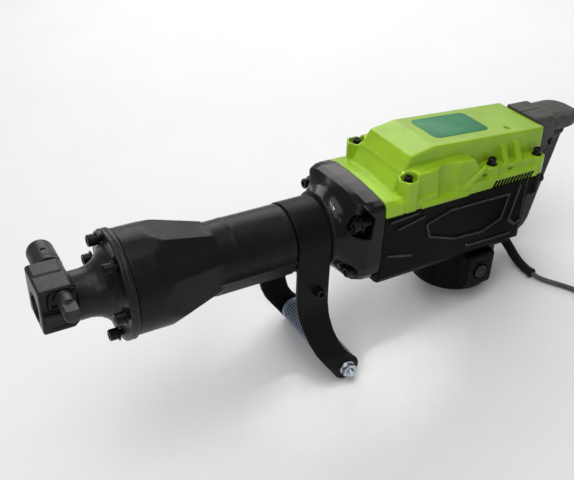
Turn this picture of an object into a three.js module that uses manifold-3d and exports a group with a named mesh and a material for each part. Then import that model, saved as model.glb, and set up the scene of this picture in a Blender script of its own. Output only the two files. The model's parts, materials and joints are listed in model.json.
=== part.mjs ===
// Electric demolition hammer, lying on its motor end and its side handle.
//
// Every piece is modelled in the hammer's own frame, in millimetres: X runs along the barrel
// from the tip of the nose to the rear handle, Z points from the motor to the gear cover, and
// the barrel's axis is y = z = 0. The whole tool is then tipped nose up, so that the ends of
// the side handle and the rim of the motor housing stand on one level surface.
import * as THREE from 'three';
import { mergeVertices } from 'three/addons/utils/BufferGeometryUtils.js';
import Module from 'manifold-3d';

const wasm = await Module();
wasm.setup();

// ---------------------------------------------------------------- driving dimensions
const GAP = 0.3;

// front cover: square nose block, waisted neck and bolted flange
const NOSE_LENGTH = 39;
const NOSE_HALF_WIDTH = 28;
const NOSE_TOP = 35.5;
const NOSE_BOTTOM = -20;
const FLANGE_X = 83;
const FLANGE_THICKNESS = 11.6;
const FLANGE_RADIUS = 64.5;
const SHANK_ACROSS_FLATS = 30.6;
const RETAINER_X = 26;
const RETAINER_Z = 22.2;
const RETAINER_RADIUS = 9.4;
const KNOB_RADIUS = 15.5;
const FLANGE_BOLTS = 6;
const FIRST_FLANGE_BOLT = 35;
const FLANGE_BOLT_CIRCLE = 54.5;

// cylinder case
const CASE_X = FLANGE_X + FLANGE_THICKNESS + GAP;
const DRUM_END = 136.5;
const DRUM_RADIUS = 62;
const CONE_END = 199.5;
const WAIST_RADIUS = 43;
const STRAP_X = 300;
const STRAP_WIDTH = 45;
const STRAP_SEAT_RADIUS = 40;
const CASE_END = 403.5;
const CASE_BORE = 31;

// impact mechanism, all on the barrel's axis
const SLEEVE_BORE = 24.3;
const PISTON_RADIUS = 24;
const CRANK_X = 487.5;
const CRANK_THROW = 16;
const ROD_LENGTH = 100;
const ROD_THICKNESS = 16;

// gear train: two spur stages between the motor and the crank
const FINAL_TEETH = 24;
const SECOND_PINION_TEETH = 8;
const FINAL_MODULE = 3;
const FIRST_TEETH = 35;
const MOTOR_PINION_TEETH = 7;
const FIRST_MODULE = 2.2;
const COUNTERSHAFT_X = CRANK_X + (FINAL_TEETH + SECOND_PINION_TEETH) * FINAL_MODULE / 2;
const MOTOR_X = COUNTERSHAFT_X + (FIRST_TEETH + MOTOR_PINION_TEETH) * FIRST_MODULE / 2;

// main body
const BODY_HALF_WIDTH = 66;
const BODY_X = CASE_END + GAP;
const BODY_END = 645;
const BODY_TOP = 35;
const BODY_BOTTOM = -65;
const MOTOR_RADIUS = 57;
const MOTOR_BORE = 50;
const MOTOR_END_Z = -134;
const MOTOR_EDGE_RADIUS = 5;
const COVER_END = 667;

// rear handle
const HANDLE_HALF_WIDTH = 17.5;
const HANDLE_TOP_HALF_WIDTH = 32;
const HANDLE_BOTTOM = -95;

// side handle
const SIDE_ARM_THICKNESS = 7;
const SIDE_GRIP_X = 360;
const SIDE_GRIP_Z = -175;
const SIDE_ARM_END_RADIUS = 18.5;
const SIDE_GRIP_HALF_LENGTH = 68;
const SIDE_GRIP_RADIUS = 17.5;
const CLAMP_X = 329;
const CLAMP_Z = -62;

// mains lead, in the frame of the surface that the tool stands on
const CORD_DIAMETER = 7;
const COIL_MIDDLE_RADIUS = 38.5;
const COIL_COLUMNS = 3;
const COIL_LAYERS = 4;

// The lowest points are the round ends of the side handle's arms and the rear rim of the motor
// housing. TILT is the nose-up angle that brings both to one level.
const RIM_X = MOTOR_X + MOTOR_RADIUS - MOTOR_EDGE_RADIUS;
const RIM_Z = MOTOR_END_Z + MOTOR_EDGE_RADIUS;
const RIM_RUN = RIM_X - SIDE_GRIP_X;
const RIM_RISE = RIM_Z - SIDE_GRIP_Z;
const RADIUS_DIFFERENCE = SIDE_ARM_END_RADIUS - MOTOR_EDGE_RADIUS;
const TILT = Math.atan2(RIM_RISE, RIM_RUN) + Math.asin(RADIUS_DIFFERENCE / Math.hypot(RIM_RUN, RIM_RISE));

const BIG = 36;
const MEDIUM = 20;
const SMALL = 8;

// ---------------------------------------------------------------- solids

// A manifold solid from a closed three.js geometry, with its faces turned outwards.
function solidOf(geometry) {
  const bare = geometry.clone();
  bare.deleteAttribute('normal');
  bare.deleteAttribute('uv');
  const merged = mergeVertices(bare, 1e-4);
  const place = merged.attributes.position.array;
  const corners = merged.index.array;
  const kept = [];
  for (let i = 0; i < corners.length; i += 3) {
    const [a, b, c] = [corners[i], corners[i + 1], corners[i + 2]];
    if (a !== b && b !== c && c !== a) {
      kept.push(a, b, c);
    }
  }
  if (signedVolume(place, kept) < 0) {
    kept.reverse();
  }
  const vertProperties = Float32Array.from(place);
  const triVerts = Uint32Array.from(kept);
  return new wasm.Manifold(new wasm.Mesh({ numProp: 3, vertProperties, triVerts }));
}

function signedVolume(place, corners) {
  const [a, b, c] = [new THREE.Vector3(), new THREE.Vector3(), new THREE.Vector3()];
  let volume = 0;
  for (let i = 0; i < corners.length; i += 3) {
    a.fromArray(place, 3 * corners[i]);
    b.fromArray(place, 3 * corners[i + 1]);
    c.fromArray(place, 3 * corners[i + 2]);
    volume += a.dot(b.cross(c));
  }
  return volume / 6;
}

function geometryOf(solid) {
  const mesh = solid.getMesh();
  const geometry = new THREE.BufferGeometry();
  geometry.setAttribute('position', new THREE.Float32BufferAttribute(mesh.vertProperties, 3));
  geometry.setIndex(Array.from(mesh.triVerts));
  geometry.computeVertexNormals();
  return geometry;
}

function block(x0, x1, y0, y1, z0, z1) {
  const geometry = new THREE.BoxGeometry(x1 - x0, y1 - y0, z1 - z0);
  geometry.translate((x0 + x1) / 2, (y0 + y1) / 2, (z0 + z1) / 2);
  return solidOf(geometry);
}

// Turns a geometry made along Y so that it lies along the named axis.
function alignY(geometry, axis) {
  if (axis === 'x') {
    geometry.rotateZ(-Math.PI / 2);
  }
  if (axis === 'z') {
    geometry.rotateX(Math.PI / 2);
  }
  return geometry;
}

// A round bar from one place to another along an axis; centre holds the two other coordinates.
function bar(axis, radius, from, to, centre, sides = SMALL) {
  return turned(axis, [[0, from], [radius, from], [radius, to], [0, to]], centre, sides);
}

// A solid of revolution: the profile's points are [radius, place along the axis].
function turned(axis, profile, centre = [0, 0], sides = BIG) {
  const points = profile.map(([radius, along]) => new THREE.Vector2(radius, along));
  const geometry = alignY(new THREE.LatheGeometry(points, sides), axis);
  const [first, second] = centre;
  if (axis === 'x') {
    geometry.translate(0, first, second);
  } else if (axis === 'y') {
    geometry.translate(first, 0, second);
  } else {
    geometry.translate(first, second, 0);
  }
  return solidOf(geometry);
}

// A flat outline of [x, z] points, thickened from y0 to y1.
function sidePlate(outline, y0, y1, hole = null) {
  const shape = new THREE.Shape(outline.map(([x, z]) => new THREE.Vector2(x, z)));
  if (hole) {
    shape.holes.push(new THREE.Path(hole.map(([x, z]) => new THREE.Vector2(x, z))));
  }
  const geometry = new THREE.ExtrudeGeometry(shape, { depth: y1 - y0, bevelEnabled: false });
  geometry.rotateX(Math.PI / 2);
  geometry.translate(0, y1, 0);
  return solidOf(geometry);
}

// A flat outline of [y, z] points, thickened from x0 to x1.
function frontPlate(outline, x0, x1) {
  const shape = new THREE.Shape(outline.map(([y, z]) => new THREE.Vector2(y, z)));
  const geometry = new THREE.ExtrudeGeometry(shape, { depth: x1 - x0, bevelEnabled: false });
  geometry.rotateX(Math.PI / 2);
  geometry.rotateZ(Math.PI / 2);
  geometry.translate(x0, 0, 0);
  return solidOf(geometry);
}

// A flat outline of [x, y] points, thickened from z0 to z1.
function floorPlate(outline, z0, z1) {
  const shape = new THREE.Shape(outline.map(([x, y]) => new THREE.Vector2(x, y)));
  const geometry = new THREE.ExtrudeGeometry(shape, { depth: z1 - z0, bevelEnabled: false });
  geometry.translate(0, 0, z0);
  return solidOf(geometry);
}

// The points of an arc about a centre, angles in degrees.
function arc(cx, cy, radius, from, to, steps) {
  const points = [];
  for (let i = 0; i <= steps; i += 1) {
    const angle = THREE.MathUtils.degToRad(from + (to - from) * i / steps);
    points.push([cx + radius * Math.cos(angle), cy + radius * Math.sin(angle)]);
  }
  return points;
}

function hexagon(acrossFlats, cx = 0, cy = 0, turn = 0) {
  return arc(cx, cy, acrossFlats / 2 / Math.cos(Math.PI / 6), turn, turn + 300, 5);
}

function mirrored(outline) {
  return outline.map(([y, z]) => [-y, z]).reverse();
}

// ---------------------------------------------------------------- the assembly
const PAINT = {
  black: [0x1d1d1b, 0.55, 0.1],
  glossBlack: [0x1b1d1e, 0.3, 0.2],
  lime: [0xa5cc2b, 0.45, 0.05],
  grey: [0x6d6d68, 0.7, 0.0],
  rubber: [0x2c2d2c, 0.85, 0.0],
  gripRubber: [0x76808a, 0.6, 0.0],
  steel: [0x8d8f92, 0.35, 0.9],
  darkSteel: [0x2f3032, 0.4, 0.8],
  zinc: [0xb9bec2, 0.3, 0.9],
  bronze: [0xa9814a, 0.45, 0.8],
  copper: [0xb56a3b, 0.4, 0.9],
  carbon: [0x262626, 0.8, 0.1],
  teal: [0x2f9a72, 0.4, 0.0],
};

const hammer = new THREE.Group();
const lead = new THREE.Group();

function add(name, solid, paint, group = hammer) {
  const [color, roughness, metalness] = PAINT[paint];
  const material = new THREE.MeshStandardMaterial({ color, roughness, metalness });
  const mesh = new THREE.Mesh(geometryOf(solid), material);
  mesh.name = name;
  group.add(mesh);
}

// A cap screw along an axis: head with its washer, then the shank, which points along the
// positive axis when length is positive.
function capScrew(axis, seat, centre, headRadius, headLength, shankRadius, length) {
  const way = Math.sign(length);
  const washer = 2;
  return turned(axis, [
    [0, seat - way * (headLength + washer)],
    [headRadius, seat - way * (headLength + washer)],
    [headRadius, seat - way * washer],
    [headRadius * 1.3, seat - way * washer],
    [headRadius * 1.3, seat - way * GAP],
    [shankRadius, seat - way * GAP],
    [shankRadius, seat + length],
    [0, seat + length],
  ], centre, SMALL);
}

// ---------------------------------------------------------------- front cover and retainer
function flangeBoltPlaces() {
  const places = [];
  for (let i = 0; i < FLANGE_BOLTS; i += 1) {
    const angle = THREE.MathUtils.degToRad(FIRST_FLANGE_BOLT + 360 / FLANGE_BOLTS * i);
    places.push([-FLANGE_BOLT_CIRCLE * Math.sin(angle), FLANGE_BOLT_CIRCLE * Math.cos(angle)]);
  }
  return places;
}

function frontCover() {
  const corner = 4;
  const [w, t, b] = [NOSE_HALF_WIDTH, NOSE_TOP, NOSE_BOTTOM];
  const face = [
    [w, b + corner], [w, t - corner], [w - corner, t], [corner - w, t],
    [-w, t - corner], [-w, b + corner], [corner - w, b], [w - corner, b],
  ];
  const flangeBack = FLANGE_X + FLANGE_THICKNESS;
  const neck = turned('x', [
    [0, NOSE_LENGTH - 2], [28, NOSE_LENGTH - 2], [28, 46], [28, 54], [29.5, 62], [34, 71], [43, 79],
    [54, FLANGE_X], [FLANGE_RADIUS, FLANGE_X + 1], [FLANGE_RADIUS, flangeBack], [0, flangeBack],
  ]);
  let cover = frontPlate(face, 0, NOSE_LENGTH).add(neck);
  cover = cover.subtract(frontPlate(hexagon(SHANK_ACROSS_FLATS), -1, 68));
  cover = cover.subtract(bar('x', 20, 66, flangeBack + 1, [0, 0], MEDIUM));
  cover = cover.subtract(bar('y', RETAINER_RADIUS + 0.4, -40, 40, [RETAINER_X, RETAINER_Z], MEDIUM));
  for (const place of flangeBoltPlaces()) {
    cover = cover.subtract(bar('x', 4.4, 75, flangeBack + 1, place));
    cover = cover.subtract(bar('x', 9.6, 62, FLANGE_X + 1, place));
  }
  add('front_cover', cover, 'black');
}

// The retainer bar stands proud into the hexagon bore and has a flat on its far side, so that
// the bit's shank is held in one position and free half a turn later.
function retainer() {
  const centre = [RETAINER_X, RETAINER_Z];
  let pin = turned('y', [
    [0, -63], [RETAINER_RADIUS - 1.2, -63], [RETAINER_RADIUS, -61.5], [RETAINER_RADIUS, 28.4],
    [KNOB_RADIUS, 28.4], [KNOB_RADIUS, 69], [KNOB_RADIUS - 2.5, 71.5], [0, 71.5],
  ], centre, MEDIUM);
  const flatZ = RETAINER_Z + 3;
  pin = pin.subtract(block(RETAINER_X - 12, RETAINER_X + 12, -18, 18, flatZ, flatZ + 10));
  pin = pin.subtract(bar('z', 2.8, 0, 60, [RETAINER_X, 47], SMALL));
  add('retainer_pin', pin, 'darkSteel');
  const foot = RETAINER_Z - KNOB_RADIUS + 2;
  add('retainer_roll_pin', bar('z', 2.4, foot, RETAINER_Z + KNOB_RADIUS - 1, [RETAINER_X, 47]), 'steel');
}

function flangeBolts() {
  flangeBoltPlaces().forEach((place, i) => {
    add(`flange_bolt_${i + 1}`, capScrew('x', FLANGE_X + 1, place, 6.8, 13, 4, 30), 'darkSteel');
  });
}

// ---------------------------------------------------------------- cylinder case
const CASE_BOLTS = [[58.6, 30.2], [-58.6, 30.2], [50, -41], [-50, -41]];
const CASE_BOLT_SEAT = 374;

// The rear flange and the body behind it share one outline: a flat-sided section with an
// arched top and large lower corners.
function bodySection(halfWidth, top, bottom, lowerRadius) {
  const right = [
    ...arc(halfWidth - lowerRadius, bottom + lowerRadius, lowerRadius, -90, 0, 5),
    [halfWidth, top - 6],
    [halfWidth - 6, top],
  ];
  return [...right, [halfWidth / 2, top + 5], [-halfWidth / 2, top + 5], ...mirrored(right)];
}

function cylinderCase() {
  const barrel = turned('x', [
    [0, CASE_X], [DRUM_RADIUS, CASE_X], [DRUM_RADIUS, DRUM_END - 8], [DRUM_RADIUS - 2, DRUM_END],
    [WAIST_RADIUS + 5, CONE_END - 14], [WAIST_RADIUS, CONE_END], [WAIST_RADIUS, STRAP_X - 1],
    [STRAP_SEAT_RADIUS, STRAP_X - 1], [STRAP_SEAT_RADIUS, STRAP_X + STRAP_WIDTH + 1],
    [WAIST_RADIUS + 2, STRAP_X + STRAP_WIDTH + 1], [WAIST_RADIUS + 5, 354], [0, 354],
  ]);
  const dome = turned('x', [
    [0, 353], [WAIST_RADIUS + 5, 353], [WAIST_RADIUS + 11, 360], [66, 372], [76, 384], [84, 400],
    [84, CASE_END], [0, CASE_END],
  ]);
  const flange = frontPlate(bodySection(67, 50, -60, 30), 350, CASE_END).intersect(dome);
  const keel = frontPlate([[44, -9], [-44, -9], [-30, -34], [-12, -43], [12, -43], [30, -34]], 206, STRAP_X - 1);
  let body = barrel.add(flange).add(keel);
  body = body.subtract(bar('x', 46, CASE_X - 1, 126, [0, 0], BIG));
  body = body.subtract(bar('x', CASE_BORE, 120, CASE_END + 1, [0, 0], BIG));
  for (const place of CASE_BOLTS) {
    body = body.subtract(bar('x', 11, 330, CASE_BOLT_SEAT, place));
    body = body.subtract(bar('x', 4.4, 360, CASE_END + 1, place));
  }
  for (const place of flangeBoltPlaces()) {
    body = body.subtract(bar('x', 4.4, CASE_X - 1, 116, place));
  }
  add('cylinder_case', body, 'black');
  CASE_BOLTS.forEach((place, i) => {
    add(`case_bolt_${i + 1}`, capScrew('x', CASE_BOLT_SEAT, place, 6.6, 9, 4, 50), 'darkSteel');
  });
}

// ---------------------------------------------------------------- impact mechanism
function impactMechanism() {
  add('damper_ring', turned('x', [[22, 96], [45.5, 96], [45.5, 108], [22, 108], [22, 96]]), 'rubber');
  add('second_hammer', turned('x', [
    [0, 72], [16, 72], [17, 74], [17, 112], [29.5, 120], [29.5, 150], [15, 158], [15, 186], [0, 186],
  ], [0, 0], MEDIUM), 'steel');
  add('cylinder_sleeve', turned('x', [
    [SLEEVE_BORE, 170], [CASE_BORE - GAP, 170], [CASE_BORE - GAP, 425], [SLEEVE_BORE, 425],
    [SLEEVE_BORE, 170],
  ]), 'steel');
  add('striker', turned('x', [
    [0, 204], [14, 204], [14, 222], [PISTON_RADIUS, 228], [PISTON_RADIUS, 296], [0, 296],
  ], [0, 0], MEDIUM), 'steel');
  const pinX = CRANK_X - CRANK_THROW - ROD_LENGTH;
  let piston = bar('x', PISTON_RADIUS, pinX - 34, pinX + 14, [0, 0], MEDIUM);
  piston = piston.subtract(block(pinX - 15, pinX + 20, -17, 17, -ROD_THICKNESS / 2 - 0.5, ROD_THICKNESS / 2 + 0.5));
  piston = piston.subtract(bar('z', 5.4, -30, 30, [pinX, 0]));
  add('piston', piston, 'steel');
  add('piston_pin', bar('z', 5, -20, 20, [pinX, 0]), 'darkSteel');
  const bigEndX = pinX + ROD_LENGTH;
  const half = ROD_THICKNESS / 2;
  let rod = bar('z', 12, -half, half, [pinX, 0], MEDIUM).add(bar('z', 17, -half, half, [bigEndX, 0], MEDIUM));
  rod = rod.add(block(pinX + 4, bigEndX - 4, -8, 8, 2 - half, half - 2));
  rod = rod.subtract(bar('z', 5.4, -30, 30, [pinX, 0]));
  rod = rod.subtract(bar('z', 9, -30, 30, [bigEndX, 0]));
  add('connecting_rod', rod, 'darkSteel');
}

// ---------------------------------------------------------------- gear train and crank

// A spur gear's outline with straight-flanked teeth; turn is where the first tooth points.
function gearOutline(teeth, module, cx, turn) {
  const pitch = teeth * module / 2;
  const step = 2 * Math.PI / teeth;
  const tip = pitch + 0.8 * module;
  const root = pitch - 1.15 * module;
  const points = [];
  for (let i = 0; i < teeth; i += 1) {
    const middle = turn + i * step;
    for (const [radius, share] of [[root, -0.29], [tip, -0.1], [tip, 0.1], [root, 0.29]]) {
      const angle = middle + share * step;
      points.push([cx + radius * Math.cos(angle), radius * Math.sin(angle)]);
    }
  }
  return points;
}

function crankshaft() {
  const centre = [CRANK_X, 0];
  const pinX = CRANK_X - CRANK_THROW;
  let shaft = turned('z', [
    [0, 10], [26, 10], [26, 19], [12.4, 19], [12.4, 39.5], [9, 39.5], [9, 54], [0, 54],
  ], centre, MEDIUM);
  shaft = shaft.add(bar('z', 8, ROD_THICKNESS / 2 + 0.4, 12, [pinX, 0]));
  add('crankshaft', shaft, 'steel');
  let wheel = floorPlate(gearOutline(FINAL_TEETH, FINAL_MODULE, CRANK_X, 0), 40, 52);
  wheel = wheel.subtract(bar('z', 9 + GAP, 39, 61, centre, MEDIUM));
  add('crank_gear', wheel, 'darkSteel');
  const race = (x, bore, outer, z0, z1) => turned('z', [
    [bore, z0], [outer, z0], [outer, z1], [bore, z1], [bore, z0],
  ], [x, 0], MEDIUM);
  add('crank_bearing', race(CRANK_X, 12.7, 23, 22, 34), 'zinc');
  add('rotor_upper_bearing', race(MOTOR_X, 6.3, 16, 23, 34), 'zinc');
  add('rotor_lower_bearing', race(MOTOR_X, 6.3, 16, -127, -117), 'zinc');
}

function countershaft() {
  const halfTooth = Math.PI / SECOND_PINION_TEETH;
  const pinion = floorPlate(gearOutline(SECOND_PINION_TEETH, FINAL_MODULE, COUNTERSHAFT_X, Math.PI + halfTooth), 38, 54);
  const wheel = floorPlate(gearOutline(FIRST_TEETH, FIRST_MODULE, COUNTERSHAFT_X, 0), 56, 66);
  const shaft = bar('z', 6, 22.5, 72, [COUNTERSHAFT_X, 0]);
  const collar = bar('z', 9, 53, 57, [COUNTERSHAFT_X, 0]);
  add('countershaft', shaft.add(pinion).add(wheel).add(collar), 'darkSteel');
}

function motor() {
  const centre = [MOTOR_X, 0];
  const halfTooth = Math.PI / MOTOR_PINION_TEETH;
  const pinion = floorPlate(gearOutline(MOTOR_PINION_TEETH, FIRST_MODULE, MOTOR_X, Math.PI + halfTooth), 54, 68);
  const rotor = turned('z', [
    [0, -130], [6, -130], [6, -112], [15, -110], [15, -84], [12, -76],
    [27, -68], [27, 2], [10, 9], [6, 10], [6, 55], [0, 55],
  ], centre, MEDIUM);
  add('armature', rotor.add(pinion), 'copper');
  const hub = turned('z', [[6 + GAP, 10.4], [10, 10.4], [10, 20], [6 + GAP, 20], [6 + GAP, 10.4]], centre, MEDIUM);
  let fan = turned('z', [[9, 10.4], [44, 10.4], [44, 12.4], [9, 12.4], [9, 10.4]], centre, MEDIUM).add(hub);
  const blades = 8;
  for (let i = 0; i < blades; i += 1) {
    const angle = 2 * Math.PI * i / blades;
    const blade = new THREE.BoxGeometry(26, 1.6, 9);
    blade.translate(29, 0, 16);
    blade.rotateZ(angle);
    blade.translate(MOTOR_X, 0, 0);
    fan = fan.add(solidOf(blade));
  }
  add('cooling_fan', fan, 'carbon');
  add('stator', turned('z', [
    [28.5, -68], [MOTOR_BORE - 0.4, -68], [MOTOR_BORE - 0.4, 2], [28.5, 2], [28.5, -68],
  ], centre), 'copper');
  for (const [side, way] of [['left', -1], ['right', 1]]) {
    const brush = way < 0
      ? block(BRUSH_X - 4, BRUSH_X + 4, -44, -15.5, BRUSH_Z - 6, BRUSH_Z + 6)
      : block(BRUSH_X - 4, BRUSH_X + 4, 15.5, 44, BRUSH_Z - 6, BRUSH_Z + 6);
    add(`carbon_brush_${side}`, brush, 'carbon');
    let cap = turned('y', [
      [0, way * 60], [8, way * 60], [8, way * 69.3], [9.5, way * 69.3], [9.5, way * 71.5], [0, way * 71.5],
    ], [BRUSH_X, BRUSH_Z], MEDIUM);
    const slot = way < 0
      ? block(BRUSH_X - 12, BRUSH_X + 12, -73, -70.2, BRUSH_Z - 1, BRUSH_Z + 1)
      : block(BRUSH_X - 12, BRUSH_X + 12, 70.2, 73, BRUSH_Z - 1, BRUSH_Z + 1);
    cap = cap.subtract(slot);
    add(`brush_cap_${side}`, cap, 'black');
  }
}

// ---------------------------------------------------------------- casings
const BRUSH_X = MOTOR_X - 7;
const BRUSH_Z = -94;
const COVER_BOLTS = [[440, 56, 70.5], [574, 54, 63.5], [652, 54, 60.5]];
const COVER_BOLT_LENGTH = 60;

function crankcase() {
  const section = bodySection(BODY_HALF_WIDTH, BODY_TOP, BODY_BOTTOM, 10);
  let body = frontPlate(section, BODY_X, BODY_END);
  body = body.subtract(block(BODY_X - 1, BODY_END + 1, -80, 80, BODY_TOP, 60));
  for (const way of [-1, 1]) {
    const lug = [[BODY_END - 6, 47], [BODY_END - 6, 61], [661, 61], [661, 47]];
    body = body.add(floorPlate(way < 0 ? lug.map(([x, y]) => [x, -y]) : lug, 2, BODY_TOP));
  }
  body = body.subtract(bar('x', CASE_BORE, BODY_X - 1, 430, [0, 0], BIG));
  body = body.subtract(block(428, 522, -50, 50, -45, BODY_TOP + 1));
  body = body.subtract(block(510, 562, -31, 31, -20, BODY_TOP + 1));
  body = body.subtract(bar('z', MOTOR_BORE, BODY_BOTTOM - 1, BODY_TOP + 1, [MOTOR_X, 0], BIG));
  for (const place of CASE_BOLTS) {
    body = body.subtract(bar('x', 4.4, BODY_X - 1, 425.5, place));
  }
  for (const [x, y] of COVER_BOLTS) {
    for (const side of [-y, y]) {
      body = body.subtract(bar('z', 3.4, 3, BODY_TOP + 1, [x, side]));
    }
  }
  add('crankcase', body, 'black');
  let plate = block(429, 521, -49, 49, 22, BODY_TOP - 0.5);
  plate = plate.add(block(515, 560, -30, 30, 22, BODY_TOP - 0.5));
  plate = plate.add(bar('z', MOTOR_BORE - 1, 22, BODY_TOP - 0.5, [MOTOR_X, 0], BIG));
  plate = plate.subtract(bar('z', 23 + GAP, 20, 40, [CRANK_X, 0], MEDIUM));
  plate = plate.subtract(bar('z', 6 + GAP, 19, 40, [COUNTERSHAFT_X, 0], MEDIUM));
  plate = plate.subtract(bar('z', 16 + GAP, 20, 40, [MOTOR_X, 0], MEDIUM));
  add('bearing_plate', plate, 'steel');
}

function motorHousing() {
  const top = BODY_BOTTOM - GAP;
  const edge = MOTOR_EDGE_RADIUS;
  const rim = arc(MOTOR_RADIUS - edge, MOTOR_END_Z + edge, edge, -90, 0, 3);
  let drum = turned('z', [[0, MOTOR_END_Z], ...rim, [MOTOR_RADIUS, top], [0, top]], [MOTOR_X, 0]);
  for (const way of [-1, 1]) {
    const pad = way < 0
      ? block(BRUSH_X - 20, BRUSH_X + 20, -69, -30, BRUSH_Z - 21, BRUSH_Z + 20)
      : block(BRUSH_X - 20, BRUSH_X + 20, 30, 69, BRUSH_Z - 21, BRUSH_Z + 20);
    drum = drum.add(pad);
  }
  drum = drum.subtract(bar('z', MOTOR_BORE, -112, top + 1, [MOTOR_X, 0], BIG));
  drum = drum.subtract(bar('z', 30, -117, -110, [MOTOR_X, 0], MEDIUM));
  drum = drum.subtract(bar('z', 16 + GAP, -130.5, -110, [MOTOR_X, 0], MEDIUM));
  drum = drum.subtract(bar('y', 8 + GAP, -80, 80, [BRUSH_X, BRUSH_Z], MEDIUM));
  for (const x of [MOTOR_X - 20, MOTOR_X + 20]) {
    drum = drum.subtract(bar('z', 4, MOTOR_END_Z - 1, -110, [x, 0]));
  }
  add('motor_housing', drum, 'black');
}

// Green cover over the gears: front ledge, sloped front, long flat top, and a stepped shelf
// along each side that carries the bolts.
function gearCover() {
  const bottom = BODY_TOP + GAP;
  const side = [[BODY_HALF_WIDTH + 2, bottom], [BODY_HALF_WIDTH + 2, 46], [BODY_HALF_WIDTH - 1, 51], [54, 54], [30, 57]];
  const ledge = frontPlate([...side, ...mirrored(side)], BODY_X, 430);
  const top = sidePlate([
    [420, bottom], [COVER_END, bottom], [COVER_END, 92], [485, 103], [450, 97], [423, 56],
  ], -46, 46);
  const chamfer = frontPlate([[-46, 30], [46, 30], [46, 72], [43.5, 110], [-43.5, 110], [-46, 72]], 400, 680);
  const frontShelf = sidePlate([[438, bottom], [561, bottom], [538, 80], [520, 82], [438, 80]], -63, 63);
  const rearShelf = sidePlate([[540, bottom], [661, bottom], [661, 60.5], [540, 60.5]], -61, 61);
  const skirt = block(412, 650, -BODY_HALF_WIDTH, BODY_HALF_WIDTH, bottom, 50);
  const midBoss = block(564, 584, -61, 61, 60, 63.5);
  let cover = top.intersect(chamfer).add(ledge).add(frontShelf).add(rearShelf).add(skirt).add(midBoss);
  const noseBoss = 10.5;
  for (const way of [-1, 1]) {
    cover = cover.add(bar('z', noseBoss, bottom, 80, [440, way * 56]));
    cover = cover.subtract(bar('z', 9, 70.5, 90, [440, way * 56]));
  }
  cover = cover.subtract(block(436, COVER_END - 8, -52, 52, bottom - 1, 56));
  cover = cover.subtract(block(449, COVER_END - 8, -42, 42, bottom - 1, 84));
  for (const [x, y, seat] of COVER_BOLTS) {
    for (const way of [-1, 1]) {
      cover = cover.subtract(bar('z', 3.4, 0, seat + 1, [x, way * y]));
    }
  }
  cover = cover.subtract(sidePlate([[505, 100], [591, 94.8], [591, 110], [505, 110]], -24, 24));
  add('gear_cover', cover, 'lime');
  add('name_plate', sidePlate([[505.5, 100.3], [590.5, 95.2], [590.5, 96.2], [505.5, 101.3]], -23.5, 23.5), 'teal');
  COVER_BOLTS.forEach(([x, y, seat], i) => {
    for (const [side, way] of [['left', -1], ['right', 1]]) {
      const screw = capScrew('z', seat, [x, way * y], 5.2, 7, 3, -(seat - 5));
      add(`cover_bolt_${side}_${i + 1}`, screw, 'darkSteel');
    }
  });
}

// ---------------------------------------------------------------- rear handle
const GRIP_REAR = [[741, 71.5], [737, 48], [724, -8], [716, -42], [711, -66], [706, -80], [694, -90], [684, -95]];
const FINGER_GAP = [
  [656, -58], [671, -54], [683, -32], [692, 8], [696, 32], [690, 40], [674, 40], [668, 27], [656, 25],
];
const TRIGGER_HINGE = [703, 33];
const LOCK_PLACE = [712, -8];

function handleHalf(name, way) {
  const span = (near, far) => (way < 0 ? [-far, -near] : [near, far]);
  const inner = GAP / 2;
  const outline = [
    [BODY_END + GAP, HANDLE_BOTTOM], [BODY_END + GAP, 34], [COVER_END + GAP, 34], [COVER_END + GAP, 96],
    [702.8, 95], [702.8, 71.5], ...GRIP_REAR,
  ];
  let half = sidePlate(outline, ...span(inner, HANDLE_HALF_WIDTH), FINGER_GAP);
  const topArm = [
    [COVER_END + GAP, 48], [COVER_END + GAP, 96], [702.8, 95], [702.8, 71.5], [725, 71.5], [716, 58], [690, 50],
  ];
  half = half.add(sidePlate(topArm, ...span(inner, HANDLE_TOP_HALF_WIDTH)));
  half = half.add(sidePlate([
    [BODY_END + GAP, HANDLE_BOTTOM], [BODY_END + GAP, -60], [660, -60], [672, -74], [673, HANDLE_BOTTOM],
  ], ...span(inner, 24)));
  const well = way < 0 ? [-11, 1] : [-1, 11];
  half = half.subtract(block(699, 716, ...well, -22, 34));
  half = half.subtract(block(707, 724, ...well, 0, 34));
  half = half.subtract(block(676, 708, ...well, -26, 42));
  half = half.subtract(bar('z', 5, -110, -60, [664, way * 0.1]));
  if (way < 0) {
    half = half.subtract(bar('y', 5.4, -30, 0, LOCK_PLACE));
  }
  add(name, half, 'grey');
}

function rearHandle() {
  handleHalf('handle_left', -1);
  handleHalf('handle_right', 1);
  const plan = [
    [703.2, -32], [728, -31], [746, -26], [757, -17], [763, -6], [763, 6], [757, 17], [746, 26],
    [728, 31], [703.2, 32],
  ];
  const side = sidePlate([[703.2, 72], [748, 72], [764, 81], [758, 88], [735, 93], [703.2, 95]], -40, 40);
  add('handle_cap', floorPlate(plan, 60, 100).intersect(side), 'grey');
  const [hx, hz] = TRIGGER_HINGE;
  const lever = sidePlate([
    [hx - 5, hz], [hx - 3, hz + 5], [hx + 3, hz + 4], [702, 20], [698, -18], [690, -22], [683, -16], [688, 12],
  ], -9, 9);
  add('trigger', lever, 'black');
  add('switch_body', block(707.5, 722, -9.5, 9.5, 2, 30), 'carbon');
  add('lock_button', bar('y', 5, -21.5, -6, LOCK_PLACE), 'black');
}

// ---------------------------------------------------------------- side handle

// The bent plate of one arm, seen along the barrel: its outer face and the same line moved in.
function armSection(outerFace) {
  const innerFace = outerFace.map(([y, z]) => [y - SIDE_ARM_THICKNESS, z]).reverse();
  return [...outerFace, ...innerFace];
}

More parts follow.
